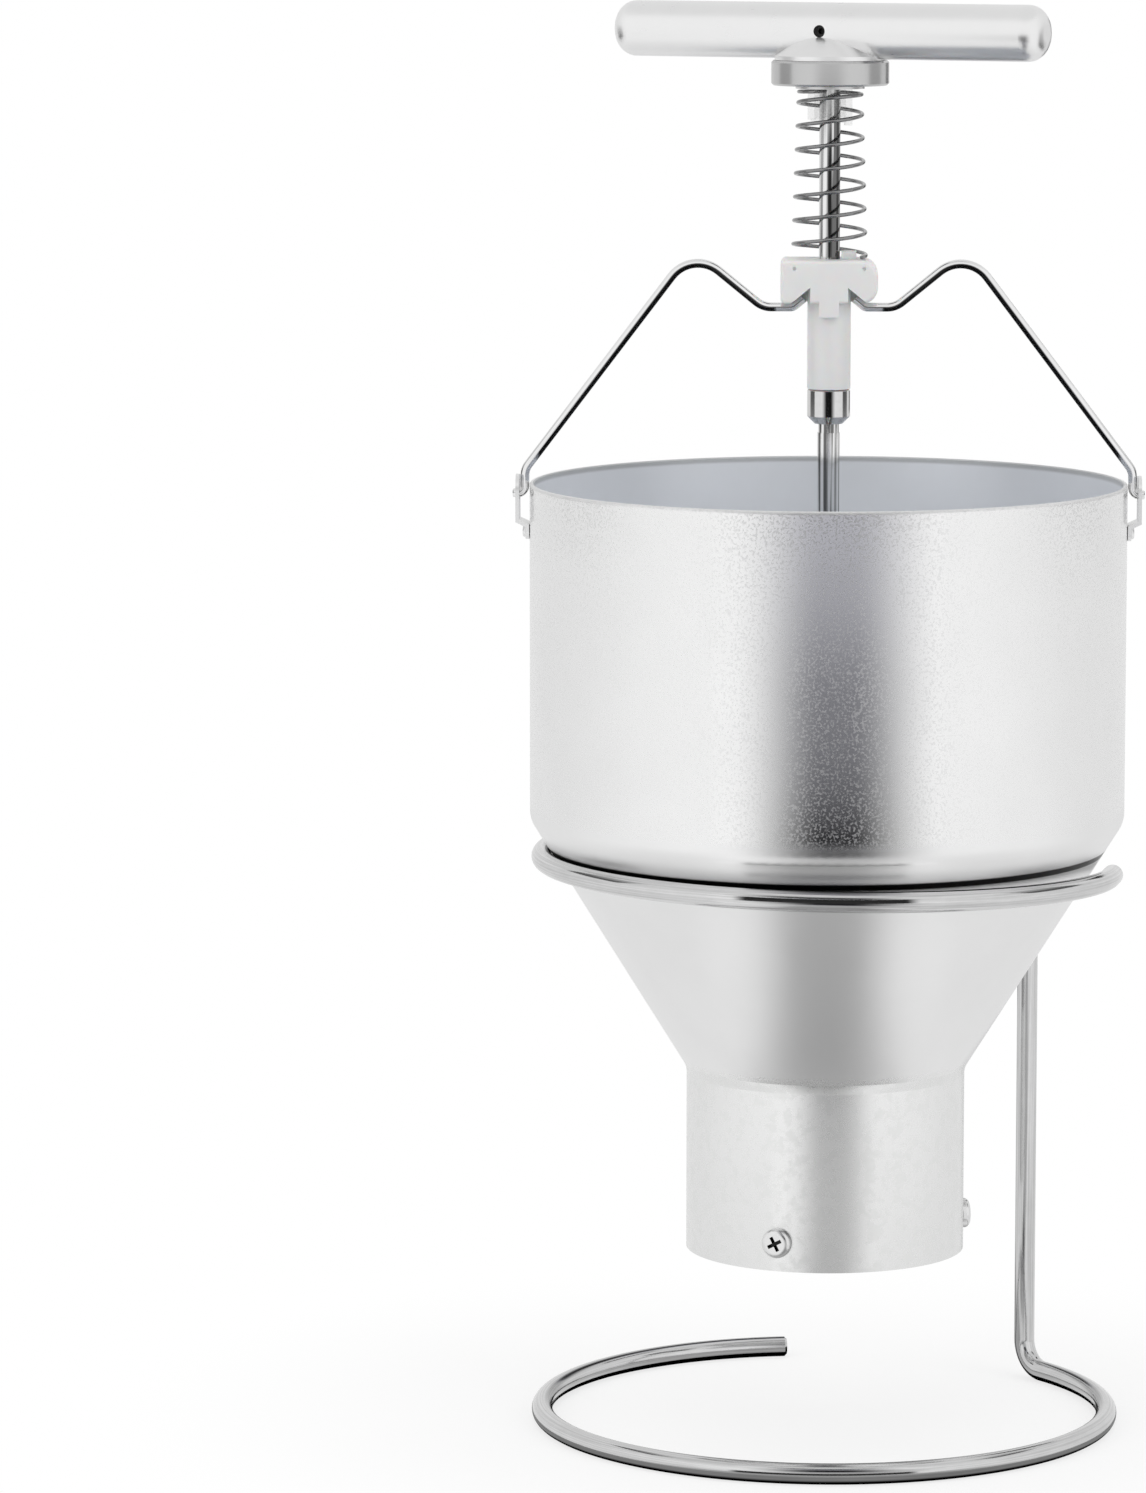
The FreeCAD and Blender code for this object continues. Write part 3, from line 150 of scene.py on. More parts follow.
def rounded_line(corners, radii, steps):
    """Points along straight runs joined by arcs, and the heading at each of them.

    At a corner the line turns by the angle between its runs. The arc starts at the radius times
    the tangent of half that angle before the corner, and a point of it lies at the radius times
    (sine of the part turned) onwards and (one minus its cosine) towards the inside of the turn.
    """
    corners = np.asarray(corners, dtype=float)
    radii = np.asarray(radii, dtype=float)
    runs = np.diff(corners, axis=0)
    headings = runs / np.linalg.norm(runs, axis=1, keepdims=True)
    before, after = headings[:-1], headings[1:]
    cosine = np.clip((before * after).sum(axis=1, keepdims=True), -1.0, 1.0)
    inward = after - before * cosine
    inward /= np.linalg.norm(inward, axis=1, keepdims=True)
    turn = np.arccos(cosine)
    start = corners[1:-1] - before * radii[:, None] * np.tan(turn / 2)
    part = (turn * np.linspace(0.0, 1.0, steps))[..., None]
    arcs = (start[:, None] + radii[:, None, None]
            * (np.sin(part) * before[:, None] + (1 - np.cos(part)) * inward[:, None]))
    arc_headings = np.cos(part) * before[:, None] + np.sin(part) * inward[:, None]
    points = np.concatenate([corners[:1], arcs.reshape(-1, arcs.shape[-1]), corners[-1:]])
    ways = np.concatenate([headings[:1], arc_headings.reshape(-1, arcs.shape[-1]), headings[-1:]])
    return points, ways


def swept_rod(name, points, headings, sideways, radius, chamfer, columns=28):
    """Round rod along a line, with chamfered flat ends.

    Each section is a circle: centre plus radius times (cosine of the angle round the rod times
    the sideways direction, plus sine times heading cross sideways). The end sections are
    narrower by the chamfer, and the sections next to them are a chamfer further in.
    """
    middles = np.concatenate([points[:1], points, points[-1:]])
    ways = np.concatenate([headings[:1], headings, headings[-1:]])
    sides = np.concatenate([sideways[:1], sideways, sideways[-1:]])
    middles[1] += ways[0] * chamfer
    middles[-2] -= ways[-1] * chamfer
    radii = np.full(len(middles), radius)
    radii[[0, -1]] -= chamfer
    angle = np.linspace(0.0, 2 * math.pi, columns, endpoint=False)
    uprights = np.cross(ways, sides)
    ring = (np.cos(angle)[None, :, None] * sides[:, None]
            + np.sin(angle)[None, :, None] * uprights[:, None])
    surface = middles[:, None] + radii[:, None, None] * ring
    return skin(name, surface, middles[[0, -1]])


def arm_line(side):
    """Centreline of a wire arm and its headings, from the ear's slot over the peak down into the
    block's seat, mirrored by the side."""
    line, ways = rounded_line(ARM_CORNERS, ARM_BENDS, BEND_POINTS)
    points = np.stack([side * line[:, 0], 0 * line[:, 0], line[:, 1]], axis=-1)
    headings = np.stack([side * ways[:, 0], 0 * ways[:, 0], ways[:, 1]], axis=-1)
    return points, headings


# Shader maths

class Value:
    """A shader socket on which the signs of arithmetic add their Math nodes."""

    def __init__(self, graph, socket):
        self.graph = graph
        self.socket = socket

    def maths(self, operation, *numbers):
        return self.graph.node("ShaderNodeMath", {"operation": operation},
                               dict(enumerate(numbers)))

    def __add__(self, other):
        return self.maths("ADD", self, other)

    def __sub__(self, other):
        return self.maths("SUBTRACT", self, other)

    def __rsub__(self, other):
        return self.maths("SUBTRACT", other, self)

    def __mul__(self, other):
        return self.maths("MULTIPLY", self, other)

    def __truediv__(self, other):
        return self.maths("DIVIDE", self, other)

    def __rtruediv__(self, other):
        return self.maths("DIVIDE", other, self)

    def __abs__(self):
        return self.maths("ABSOLUTE", self)

    __radd__ = __add__
    __rmul__ = __mul__

    def at_most(self, other):
        return self.maths("MINIMUM", self, other)

    def at_least(self, other):
        return self.maths("MAXIMUM", self, other)

    def root(self):
        return self.maths("SQRT", self)

    def sine(self):
        return self.maths("SINE", self)

    def within(self, low, high):
        """0 below low, 1 above high, and a smooth rise between them."""
        return self.graph.node("ShaderNodeMapRange", {"interpolation_type": "SMOOTHSTEP"},
                               {"Value": self, "From Min": low, "From Max": high})


class Graph:
    """Shader nodes under way: node() is the one way in which they are made."""

    def __init__(self, tree):
        self.tree = tree

    def node(self, kind, settings=None, sockets=None, output=0):
        """New node: its settings first, with a ramp's stops among them, then its sockets."""
        made = self.tree.nodes.new(kind)
        for name, setting in (settings or {}).items():
            if name == "stops":
                elements = made.color_ramp.elements
                for place, colour in setting[1:-1]:
                    elements.new(place).color = colour
                for element, (place, colour) in ((elements[0], setting[0]),
                                                 (elements[-1], setting[-1])):
                    element.position = place
                    element.color = colour
            else:
                setattr(made, name, setting)
        for name, given in (sockets or {}).items():
            if isinstance(given, Value):
                self.tree.links.new(given.socket, made.inputs[name])
            else:
                made.inputs[name].default_value = given
        return Value(self, made.outputs[output])

    def places(self, kind="Object"):
        """Coordinates: Object gives metres, and Generated gives a world's direction."""
        return self.node("ShaderNodeTexCoord", output=kind)

    def axes(self, kind="Object"):
        """The X, Y and Z of the coordinates."""
        places = self.places(kind)
        return [self.node("ShaderNodeSeparateXYZ", None, {"Vector": places}, output=axis)
                for axis in range(3)]

    def seen_by(self):
        """1 for rays of the camera, of reflections and through clear things, each by itself."""
        return [self.node("ShaderNodeLightPath", output=name)
                for name in ("Is Camera Ray", "Is Glossy Ray", "Is Transmission Ray")]

    def noise(self, scale, detail, roughness, vector=None):
        return self.node("ShaderNodeTexNoise", None, {
            "Vector": vector or self.places(), "Scale": scale, "Detail": detail,
            "Roughness": roughness})

    def blend(self, share, first, second):
        """Colour between two colours."""
        return self.node("ShaderNodeMix", {"data_type": "RGBA"},
                         {"Factor": share, 6: first, 7: second}, output=2)


class Finish(Graph):
    """A material under way, with its constants on the sockets of its shader."""

    def __init__(self, name, **constants):
        self.material = bpy.data.materials.new(name)
        self.material.use_nodes = True
        super().__init__(self.material.node_tree)
        self.shader = self.tree.nodes["Principled BSDF"]
        for socket, number in constants.items():
            self.shader.inputs[socket.replace("_", " ")].default_value = number

    def feed(self, name, value):
        """Lead a value into one socket of the material's shader."""
        self.tree.links.new(value.socket, self.shader.inputs[name])

    def along_surface(self, stretch):
        """UV in metres, scaled by (along, around)."""
        uv = self.node("ShaderNodeUVMap", {"uv_map": "surface"})
        return self.node("ShaderNodeMapping", None, {"Vector": uv, "Scale": (*stretch, 1.0)})

    def machined(self, across, along):
        """Noise left by a tool: rings round Z where along is the larger, lines along Z where
        across is."""
        x, y, z = self.axes()
        return self.noise(1.0, 2.0, 0.5, self.node("ShaderNodeCombineXYZ", None, {
            "X": x * across, "Y": y * across, "Z": z * along}))

    def bump(self, height, strength, distance):
        """Lead a height, times the distance in metres, into the shader's normal."""
        self.feed("Normal", self.node("ShaderNodeBump", None, {
            "Height": height, "Strength": strength, "Distance": distance}))


def length(first, second):
    """Length of the way with these two parts at right angles: the root of their squares' sum."""
    return (first * first + second * second).root()


def tone(grey, red=0.0, blue=0.0):
    """Colour with alpha from one grey and small leanings towards red and blue."""
    return (grey + red, grey, grey + blue, 1.0)


def dress(node, finish):
    """Give a CAD node a finish."""
    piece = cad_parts[node]
    if not piece.material_slots:
        piece.data.materials.append(finish.material)
    for slot in piece.material_slots:
        slot.material = finish.material


def stand_in(piece, node, body, finish):
    """Put a new piece in the place of a CAD node of that body."""
    piece.data.materials.append(finish.material)
    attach(piece, body)
    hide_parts(node)


# Finishes

def satin_aluminium(look):
    """Spun sheet. Rough pits under a millimetre wide break up what the wall mirrors, the tube is
    stained, the inside is duller with a painted shade line under its matt lip, and painted contact
    shade darkens a line where the ring bears."""
    finish = Finish("satin_aluminium", IOR=1.5)
    x, y, z = finish.axes()
    pits = finish.noise(1 / look.grain_size, 1.0, 0.5).within(0.44, 0.66)
    wall = z.within(RIM - WALL_HEIGHT, RIM - WALL_HEIGHT + 0.004)
    lip = z.within(RIM - LIP, RIM - LIP + 0.0003)
    cloud = finish.noise(38.0, 3.0, 0.55)
    stain = finish.noise(260.0, 4.0, 0.6).within(0.46, 0.62)
    outside = TUBE_RADIUS + ((z - CONE_FOOT).at_least(0.0)
                             * ((WALL_RADIUS - TUBE_RADIUS) / CONE_HEIGHT))
    inside = (outside.at_most(WALL_RADIUS) - length(x, y)).within(0.0008, 0.0012)
    tube = 1 - z.within(CONE_FOOT + 0.0015, CONE_FOOT + 0.0045)
    # Painted shade: a dark line on the inside just under the lip
    line = inside * z.within(RIM - SHADE_LINE_UNDER_LIP, RIM - SHADE_LINE_UNDER_LIP + 0.0012)
    outer = finish.blend(cloud, tone(look.aluminium - 0.03), tone(look.aluminium + 0.03))
    tubed = finish.blend(tube * (0.3 + stain * 0.3), outer,
                         tone(look.aluminium - 0.06, -0.006, -0.01))
    worn = finish.blend(cloud, tone(0.83, -0.02, 0.03), tone(0.90, -0.02, 0.035))
    inner = finish.blend(line, worn, tone(0.55, -0.01, 0.01))
    # Painted contact shade: a near-black band on the outside where the ring bears on the cone
    low, high = CONTACT_SHADE_LINE
    contact_shade = z.within(low, low + 0.0005) * (1 - z.within(high - 0.0006, high)) * (1 - inside)
    finish.feed("Base Color", finish.blend(
        inside, finish.blend(contact_shade, tubed, tone(0.03)), inner))
    finish.feed("Metallic", 1 - inside * 0.55)
    finish.feed("Roughness", look.aluminium_roughness
                + (1 - inside) * (pits * (0.03 + wall * 0.23) + tube * (stain - 0.5) * 0.08)
                + (inside * 0.23).at_least((1 - wall) * 0.16).at_least(lip * 0.40))
    finish.bump(cloud * (1 - lip), strength=1.0, distance=look.wave_depth)
    return finish


def painted_dark_underside(finish, girth):
    """1 on the underside of an arm, where it runs free between the guide block and the ear, which
    is painted dark as a reflection. The underside is where the sine of a full turn times V over the
    girth is above zero."""
    uv = finish.node("ShaderNodeUVMap", {"uv_map": "surface"})
    around = finish.node("ShaderNodeSeparateXYZ", None, {"Vector": uv}, output=1)
    below = (around * (2 * math.pi / girth)).sine().within(0.0, 0.16)
    aside = abs(finish.axes()[0])
    near, far = ARM_FREE
    return below * aside.within(near, near + 0.0012) * (1 - aside.within(far - 0.002, far))


def drawn_steel(name, grey, roughness, streaked=0.08, girth=0.0):
    """Wire and rod drawn through a die: long streaks run with the wire. Where the girth of an arm
    is given, a painted dark reflection covers its underside."""
    finish = Finish(name, Metallic=1.0)
    streaks = finish.noise(1.0, 3.0, 0.6, finish.along_surface((14.0, 1500.0)))
    scuffs = finish.noise(1.0, 2.0, 0.5, finish.along_surface((160.0, 420.0)))
    drawn = finish.blend(streaks.within(0.25, 0.8) * 0.7 + scuffs * 0.3,
                         tone(grey - streaked), tone(grey + streaked, 0.0, 0.004))
    if girth:
        # Painted reflection: the free underside of an arm turns near black
        drawn = finish.blend(painted_dark_underside(finish, girth), drawn, tone(0.02))
    finish.feed("Base Color", drawn)
    finish.feed("Roughness", roughness + (streaks - 0.5) * 0.08)
    finish.bump(streaks * 0.75 + scuffs * 0.25, strength=0.2, distance=0.00003)
    return finish


def bright_steel(name, grey, roughness, ringed=0.06, recess=None):
    """Small turned or pressed steel pieces: rings left by the tool, fine marks of handling. The
    recess is a function that gives 1 where shade is painted dark into a recess."""
    finish = Finish(name, Metallic=1.0)
    lathe = finish.machined(across=60, along=2600)
    marks = finish.noise(600.0, 2.0, 0.6)
    steel = finish.blend(marks, tone(grey - 0.04), tone(grey + 0.04))
    # Painted shade: near black inside the recesses
    if recess:
        steel = finish.blend(recess(finish), steel, tone(0.02))
    finish.feed("Base Color", steel)
    finish.feed("Roughness", roughness + (marks - 0.5) * 0.06 + (lathe - 0.5) * 0.04)
    finish.bump(lathe, strength=ringed, distance=0.00006)
    return finish


def painted_reflection_rod(name):
    """Polished rod along Z, with painted reflections as bright and dark lines along its length."""
    finish = Finish(name, Metallic=1.0)
    lines = finish.machined(across=620, along=9)
    marks = finish.noise(600.0, 2.0, 0.6)
    # Painted reflection: the lines swap between near black and near white
    finish.feed("Base Color", finish.blend(lines.within(0.44, 0.56), tone(0.16), tone(0.86)))
    finish.feed("Roughness", 0.06 + marks * 0.06)
    finish.bump(lines, strength=0.05, distance=0.00003)
    return finish


def cross_recess_shade(finish):
    """1 inside the screws' cross recesses, where shade is painted dark. A screw's own axis leaves Z
    at
    its turn: the depth along it is x times the turn's sine less y times its cosine."""
    x, y, z = finish.axes()
    lift = z - float(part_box("outlet_screws")[0][2] + SCREW_HEAD / 2)
    dark = None
    for turn in SCREW_TURNS:
        sine, cosine = math.sin(turn), math.cos(turn)
        along, aside = x * sine - y * cosine, x * cosine + y * sine
        recess = ((1 - length(aside, lift).within(RECESS_RADIUS, RECESS_RADIUS + 0.0002))
                  * (1 - along.within(SCREW_FACE - 0.0003, SCREW_FACE - 0.0002))
                  * along.within(SCREW_FACE - RECESS_DEPTH, SCREW_FACE - RECESS_DEPTH + 0.0005))
        dark = recess if dark is None else dark.at_least(recess)
    return dark


def turned_aluminium(name, grey, roughness):
    """Machined and polished aluminium: faint turning rings round Z, soft clouds of handling."""
    finish = Finish(name, Metallic=1.0)
    lathe = finish.machined(across=40, along=2400)
    cloud = finish.noise(90.0, 3.0, 0.55)
    finish.feed("Base Color", finish.blend(cloud, tone(grey - 0.03), tone(grey + 0.03)))
    finish.feed("Roughness", roughness + (cloud - 0.5) * 0.12 + (lathe - 0.5) * 0.06)
    finish.bump(lathe * 0.6 + cloud * 0.4, strength=0.08, distance=0.00008)
    return finish


def moulded_nylon(name, grey, roughness):
    """Milky moulded plastic with the mould's faint texture."""
    finish = Finish(name, IOR=1.53, Subsurface_Weight=0.35, Subsurface_Scale=0.002)
    texture = finish.noise(1400.0, 2.0, 0.5)
    cloud = finish.noise(120.0, 2.0, 0.5)
    finish.feed("Base Color", finish.blend(cloud, tone(grey - 0.02, 0.0, -0.006),
                                           tone(grey + 0.02, 0.0, -0.002)))
    finish.feed("Roughness", roughness + (texture - 0.5) * 0.12)
    finish.bump(texture * 0.6 + cloud * 0.4, strength=0.15, distance=0.00008)
    return finish


def clear_plastic(name):
    """Clear moulded sleeve that lets the shaft show through and shines on its edges."""
    finish = Finish(name, IOR=1.49, Alpha=0.12)
    texture = finish.noise(1100.0, 2.0, 0.5)
    finish.feed("Base Color", finish.blend(texture, tone(0.40), tone(0.50)))
    finish.feed("Roughness", 0.12 + (texture - 0.5) * 0.1)
    finish.bump(texture, strength=0.1, distance=0.00008)
    return finish


def seal_rubber(name):
    """Black seal ring with a dusty bloom."""
    finish = Finish(name, IOR=1.5)
    bloom = finish.noise(500.0, 3.0, 0.6)
    finish.feed("Base Color", finish.blend(bloom, tone(0.018), tone(0.045)))
    finish.feed("Roughness", 0.55 + (bloom - 0.5) * 0.25)
    finish.bump(bloom, strength=0.2, distance=0.0001)
    return finish


# Sizes and colours that a user may change

class LookSettings(bpy.types.PropertyGroup):
    """Tones and grain of the finishes."""
    aluminium: bpy.props.FloatProperty(
        name="Aluminium", description="Grey of the hopper's aluminium", default=0.88,
        min=0.2, max=1.0, subtype="FACTOR")
    aluminium_roughness: bpy.props.FloatProperty(
        name="Aluminium roughness", description="Roughness of the hopper between its pits",
        default=0.12, min=0.05, max=1.0, subtype="FACTOR")
    grain_size: bpy.props.FloatProperty(
        name="Grain size", description="Width of the pits in the hopper's surface",
        default=0.00078, min=0.0003, max=0.01, unit="LENGTH")
    wave_depth: bpy.props.FloatProperty(
        name="Wave depth", description="Depth of the soft waves in the hopper's sheet",
        default=0.00002, min=0.0, max=0.002, unit="LENGTH")
    steel: bpy.props.FloatProperty(
        name="Steel", description="Grey of the stand's drawn steel", default=0.66,
        min=0.2, max=1.0, subtype="FACTOR")
    nylon: bpy.props.FloatProperty(
        name="Nylon", description="Grey of the guide's white nylon", default=0.80,
        min=0.2, max=1.0, subtype="FACTOR")
    handle: bpy.props.FloatProperty(
        name="Handle", description="Grey of the handle's aluminium", default=0.88,
        min=0.2, max=1.0, subtype="FACTOR")


class StandSizes(bpy.types.PropertyGroup):
    """Bent rod that is base ring, post and upper ring in one."""
    rod_dia: bpy.props.FloatProperty(
        name="Rod diameter", description="Diameter of the stand's rod", default=ROD_DIA,
        min=0.002, unit="LENGTH")
    ring_radius: bpy.props.FloatProperty(
        name="Ring radius", description="Radius of both rings' centreline", default=0.096,
        min=0.02, unit="LENGTH")
    ring_height: bpy.props.FloatProperty(
        name="Ring height", description="Upper ring's centreline above the table",
        default=float(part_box("stand_rod")[1][2]) - ROD_DIA / 2, min=0.02, unit="LENGTH")
    bend_radius: bpy.props.FloatProperty(
        name="Bend radius", description="Bends between the rings and the post", default=0.010,
        min=0.004, unit="LENGTH")
    post_turn: bpy.props.FloatProperty(
        name="Post", description="Turn of the post from the front", default=math.radians(133.5),
        subtype="ANGLE")
    lower_end: bpy.props.FloatProperty(
        name="Base ring's end", description="Turn at which the base ring starts",
        default=math.radians(-172), subtype="ANGLE")
    upper_end: bpy.props.FloatProperty(
        name="Upper ring's end", description="Turn at which the upper ring's round part ends",
        default=math.radians(442), subtype="ANGLE")
    fall_start: bpy.props.FloatProperty(
        name="Start of the fall", description="Turn at which the upper ring starts to fall",
        default=math.radians(300), subtype="ANGLE")
    end_fall: bpy.props.FloatProperty(
        name="Fall", description="Fall of the upper ring's round part at its free end",
        default=0.005, unit="LENGTH")
    tail: bpy.props.FloatProperty(
        name="Tail", description="Straight end of the upper ring", default=0.009, unit="LENGTH")
    chamfer: bpy.props.FloatProperty(
        name="Chamfer", description="Chamfer on the rod's ends", default=0.0008, unit="LENGTH")


class ArmSizes(bpy.types.PropertyGroup):
    """Wire arms from the ears to the guide block."""
    wire_dia: bpy.props.FloatProperty(
        name="Wire diameter", description="Diameter of the arms' wire", default=0.003,
        min=0.001, unit="LENGTH")
    chamfer: bpy.props.FloatProperty(
        name="Chamfer", description="Chamfer on the wire's ends", default=0.0003, unit="LENGTH")


class SpringSizes(bpy.types.PropertyGroup):
    """Open coil between the guide block and the washer."""
    wire_dia: bpy.props.FloatProperty(
        name="Wire diameter", description="Diameter of the spring's wire", default=0.0013,
        min=0.0003, unit="LENGTH")
    foot_dia: bpy.props.FloatProperty(
        name="Foot diameter", description="Outer diameter at the guide block", default=0.0258,
        min=0.005, unit="LENGTH")
    head_dia: bpy.props.FloatProperty(
        name="Head diameter", description="Outer diameter at the washer", default=0.022,
        min=0.005, unit="LENGTH")
    quarters: bpy.props.IntProperty(
        name="Quarter turns", description="Quarter turns in all", default=31, min=8)
    closed_quarters: bpy.props.IntProperty(
        name="Closed quarters", description="Quarter turns of the closed end", default=4, min=1)
    closed_pitch: bpy.props.FloatProperty(
        name="Closed pitch", description="Pitch of the closed end", default=0.00185,
        unit="LENGTH")
    foot_pitch: bpy.props.FloatProperty(
        name="Foot pitch", description="Pitch where the wire starts on the block",
        default=0.00395, unit="LENGTH")
    start: bpy.props.FloatProperty(
        name="Start", description="Start of the lower end from +X",
        default=math.radians(-30), subtype="ANGLE")
    chamfer: bpy.props.FloatProperty(
        name="Chamfer", description="Chamfer on the wire's ends", default=0.0001, unit="LENGTH")
    travel: bpy.props.FloatProperty(
        name="Travel", description="Stroke that presses the spring together", default=0.0415,
        unit="LENGTH")


class StageSizes(bpy.types.PropertyGroup):
    """Camera, floor and light tent."""
    distance: bpy.props.FloatProperty(
        name="Camera distance", description="Camera in front of the dispenser's axis",
        default=2.3, min=0.5, unit="LENGTH")
    height: bpy.props.FloatProperty(
        name="Camera height", description="Camera above the table", default=0.5375,
        unit="LENGTH")
    pitch: bpy.props.FloatProperty(
        name="Camera pitch", description="How far the camera looks down",
        default=math.radians(7.6), subtype="ANGLE")
    yaw: bpy.props.FloatProperty(
        name="Camera yaw", description="How far the camera looks left of the axis",
        default=math.radians(2.13), subtype="ANGLE")
    lens: bpy.props.FloatProperty(
        name="Lens", description="Focal length", default=166.1, min=20.0, unit="CAMERA")
    fill: bpy.props.FloatProperty(
        name="Fill", description="Strength of the tent's even light", default=0.62,
        min=0.0, max=1.0, subtype="FACTOR")


# Pieces

class DISPENSER_OT_stand(bpy.types.Operator):
    """Bend the stand from one rod"""
    bl_idname = "dispenser.stand"
    bl_label = "Bend Stand"

    def execute(self, context):
        size = context.scene.dispenser_stand
        look = context.scene.dispenser_look
        lead = math.atan2(size.bend_radius, size.ring_radius)
        leave, join = size.post_turn - lead, size.post_turn + lead
        radius, bend = size.ring_radius, size.bend_radius
        low, high = size.rod_dia / 2, size.ring_height

        def outwards(turn):
            return np.stack([np.sin(turn), -np.cos(turn), 0 * turn], axis=-1)

        def onwards(turn):
            return np.stack([np.cos(turn), np.sin(turn), 0 * turn], axis=-1)

        # A ring's point is its radius outwards at a turn. The lower bend adds the bend radius
        # times (sine onwards and one minus cosine up) to its start, and the upper bend takes the
        # bend radius times (cosine onwards and one minus sine up) from its end. The upper ring
        # falls with the square of the turn past the start of its fall.
        quarter = np.linspace(0.0, math.pi / 2, BEND_POINTS)[:, None]
        base_turns = np.linspace(size.lower_end, leave, RING_POINTS)
        upper_turns = np.linspace(join, size.upper_end, RING_POINTS)
        post_turns = np.linspace(leave, join, POST_POINTS)[1:-1]
        low_start = outwards(np.array([leave])) * radius + UP * low
        high_end = outwards(np.array([join])) * radius + UP * high
        way_in, way_out = onwards(np.array([leave])), onwards(np.array([join]))
        low_bend = low_start + bend * (np.sin(quarter) * way_in + (1 - np.cos(quarter)) * UP)
        high_bend = high_end - bend * (np.cos(quarter) * way_out + (1 - np.sin(quarter)) * UP)
        post = np.linspace(low_bend[-1], high_bend[0], POST_POINTS)[1:-1]
        span = size.upper_end - size.fall_start
        share = np.maximum(upper_turns - size.fall_start, 0.0)[:, None] / span
        upper = outwards(upper_turns) * radius + UP * (high - size.end_fall * share ** 2)
        upper_ways = onwards(upper_turns) * radius - UP * (2 * size.end_fall * share / span)
        upper_ways /= np.linalg.norm(upper_ways, axis=1, keepdims=True)
        tail = upper[-1] + upper_ways[-1] * np.linspace(0.0, size.tail, TAIL_POINTS)[1:, None]
        points = np.concatenate([
            outwards(base_turns[:-1]) * radius + UP * low, low_bend, post, high_bend,
            upper[1:], tail])
        headings = np.concatenate([
            onwards(base_turns[:-1]), np.cos(quarter) * way_in + np.sin(quarter) * UP,
            np.broadcast_to(UP, post.shape), np.sin(quarter) * way_out + np.cos(quarter) * UP,
            upper_ways[1:], np.broadcast_to(upper_ways[-1], tail.shape)])
        turns = np.concatenate([
            base_turns[:-1], np.full(len(quarter), leave), post_turns,
            np.full(len(quarter), join), upper_turns[1:], np.full(len(tail), size.upper_end)])
        rod = swept_rod("bent_stand_rod", points, headings, outwards(turns), low, size.chamfer)
        stand_in(rod, "stand_rod", "stand",
                 drawn_steel("drawn_stand_steel", look.steel, roughness=0.12, streaked=0.16))
        return {"FINISHED"}


class DISPENSER_OT_hopper(bpy.types.Operator):
    """Finish the hopper, its insert and what holds them"""
    bl_idname = "dispenser.hopper"
    bl_label = "Finish Hopper"

    def execute(self, context):
        look = context.scene.dispenser_look
        dress("hopper_shell", satin_aluminium(look))
        dress("outlet_barrel", turned_aluminium("turned_barrel", grey=0.78, roughness=0.3))
        dress("barrel_seal", seal_rubber("black_seal"))
        dress("outlet_screws", bright_steel("screw_steel", grey=0.80, roughness=0.24,
                                            recess=cross_recess_shade))
        sheet = bright_steel("pressed_steel", grey=0.86, roughness=0.3)
        for node in ("ear_left", "ear_right", "ear_rivets"):
            dress(node, sheet)
        return {"FINISHED"}


class DISPENSER_OT_arms(bpy.types.Operator):
    """Bend the two wire arms that hold the guide block"""
    bl_idname = "dispenser.arms"
    bl_label = "Bend Arms"

    def execute(self, context):
        size = context.scene.dispenser_arms
        wire = drawn_steel("drawn_wire_steel", grey=0.86, roughness=0.07,
                           girth=math.pi * size.wire_dia)
        for side, node in ((-1, "bail_arm_left"), (1, "bail_arm_right")):
            points, headings = arm_line(side)
            sideways = np.broadcast_to([0.0, side, 0.0], points.shape)
            arm = swept_rod(f"bent_arm_{'left' if side < 0 else 'right'}", points, headings,
                            sideways, size.wire_dia / 2, size.chamfer, columns=20)
            stand_in(arm, node, "hopper", wire)
        return {"FINISHED"}


class DISPENSER_OT_guide(bpy.types.Operator):
    """Finish the guide block and the sleeve below it"""
    bl_idname = "dispenser.guide"
    bl_label = "Finish Guide"

    def execute(self, context):
        look = context.scene.dispenser_look
        dress("guide_block", moulded_nylon("nylon_block", look.nylon, roughness=0.34))
        dress("guide_sleeve", moulded_nylon("nylon_sleeve", look.nylon + 0.02, roughness=0.3))
        return {"FINISHED"}


class DISPENSER_OT_spring(bpy.types.Operator):
    """Wind the return spring"""
    bl_idname = "dispenser.spring"
    bl_label = "Wind Spring"

    def execute(self, context):
        size = context.scene.dispenser_spring
        low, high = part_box("return_spring")
        quarters, closed = size.quarters, size.closed_quarters
        foot, head = low[2] + size.wire_dia / 2, high[2] - size.wire_dia / 2
        end_rise = size.foot_pitch / 8 + size.closed_pitch * (closed / 4 - 1 / 8)
        pitch = (head - foot - end_rise) / ((quarters - closed) / 4)
        knots = np.arange(quarters + 1)
        pitches = np.where(knots > quarters - closed, size.closed_pitch, pitch)
        pitches[0] = size.foot_pitch

        # The height is the pitch over four, summed along the quarter turns, and the radius
        # falls evenly from foot to head.
        wound = np.linspace(0.0, quarters, quarters * QUARTER_STEPS + 1)
        slope = np.interp(wound, knots, pitches) / 4
        climb = np.cumsum((slope[1:] + slope[:-1]) / 2 * np.diff(wound))
        height = foot + np.concatenate([[0.0], climb])
        share = wound / quarters
        radius = ((size.foot_dia * (1 - share) + size.head_dia * share) - size.wire_dia) / 2
        angle = size.start + wound * math.pi / 2
        outward = np.stack([np.cos(angle), np.sin(angle), 0 * angle], axis=-1)
        onward = np.stack([-np.sin(angle), np.cos(angle), 0 * angle], axis=-1)
        points = outward * radius[:, None] + height[:, None] * UP
        narrowing = (size.head_dia - size.foot_dia) / 2 / (quarters * math.pi / 2)
        headings = (onward * radius[:, None] + outward * narrowing
                    + UP * (slope / (math.pi / 2))[:, None])
        headings /= np.linalg.norm(headings, axis=1, keepdims=True)
        sideways = outward - headings * (outward * headings).sum(axis=1, keepdims=True)
        sideways /= np.linalg.norm(sideways, axis=1, keepdims=True)
        coil = swept_rod("wound_return_spring", points, headings, sideways, size.wire_dia / 2,
                         size.chamfer, columns=14)
        stand_in(coil, "return_spring", "hopper",
                 drawn_steel("drawn_spring_steel", grey=0.28, roughness=0.12))
        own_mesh(coil)
        return {"FINISHED"}


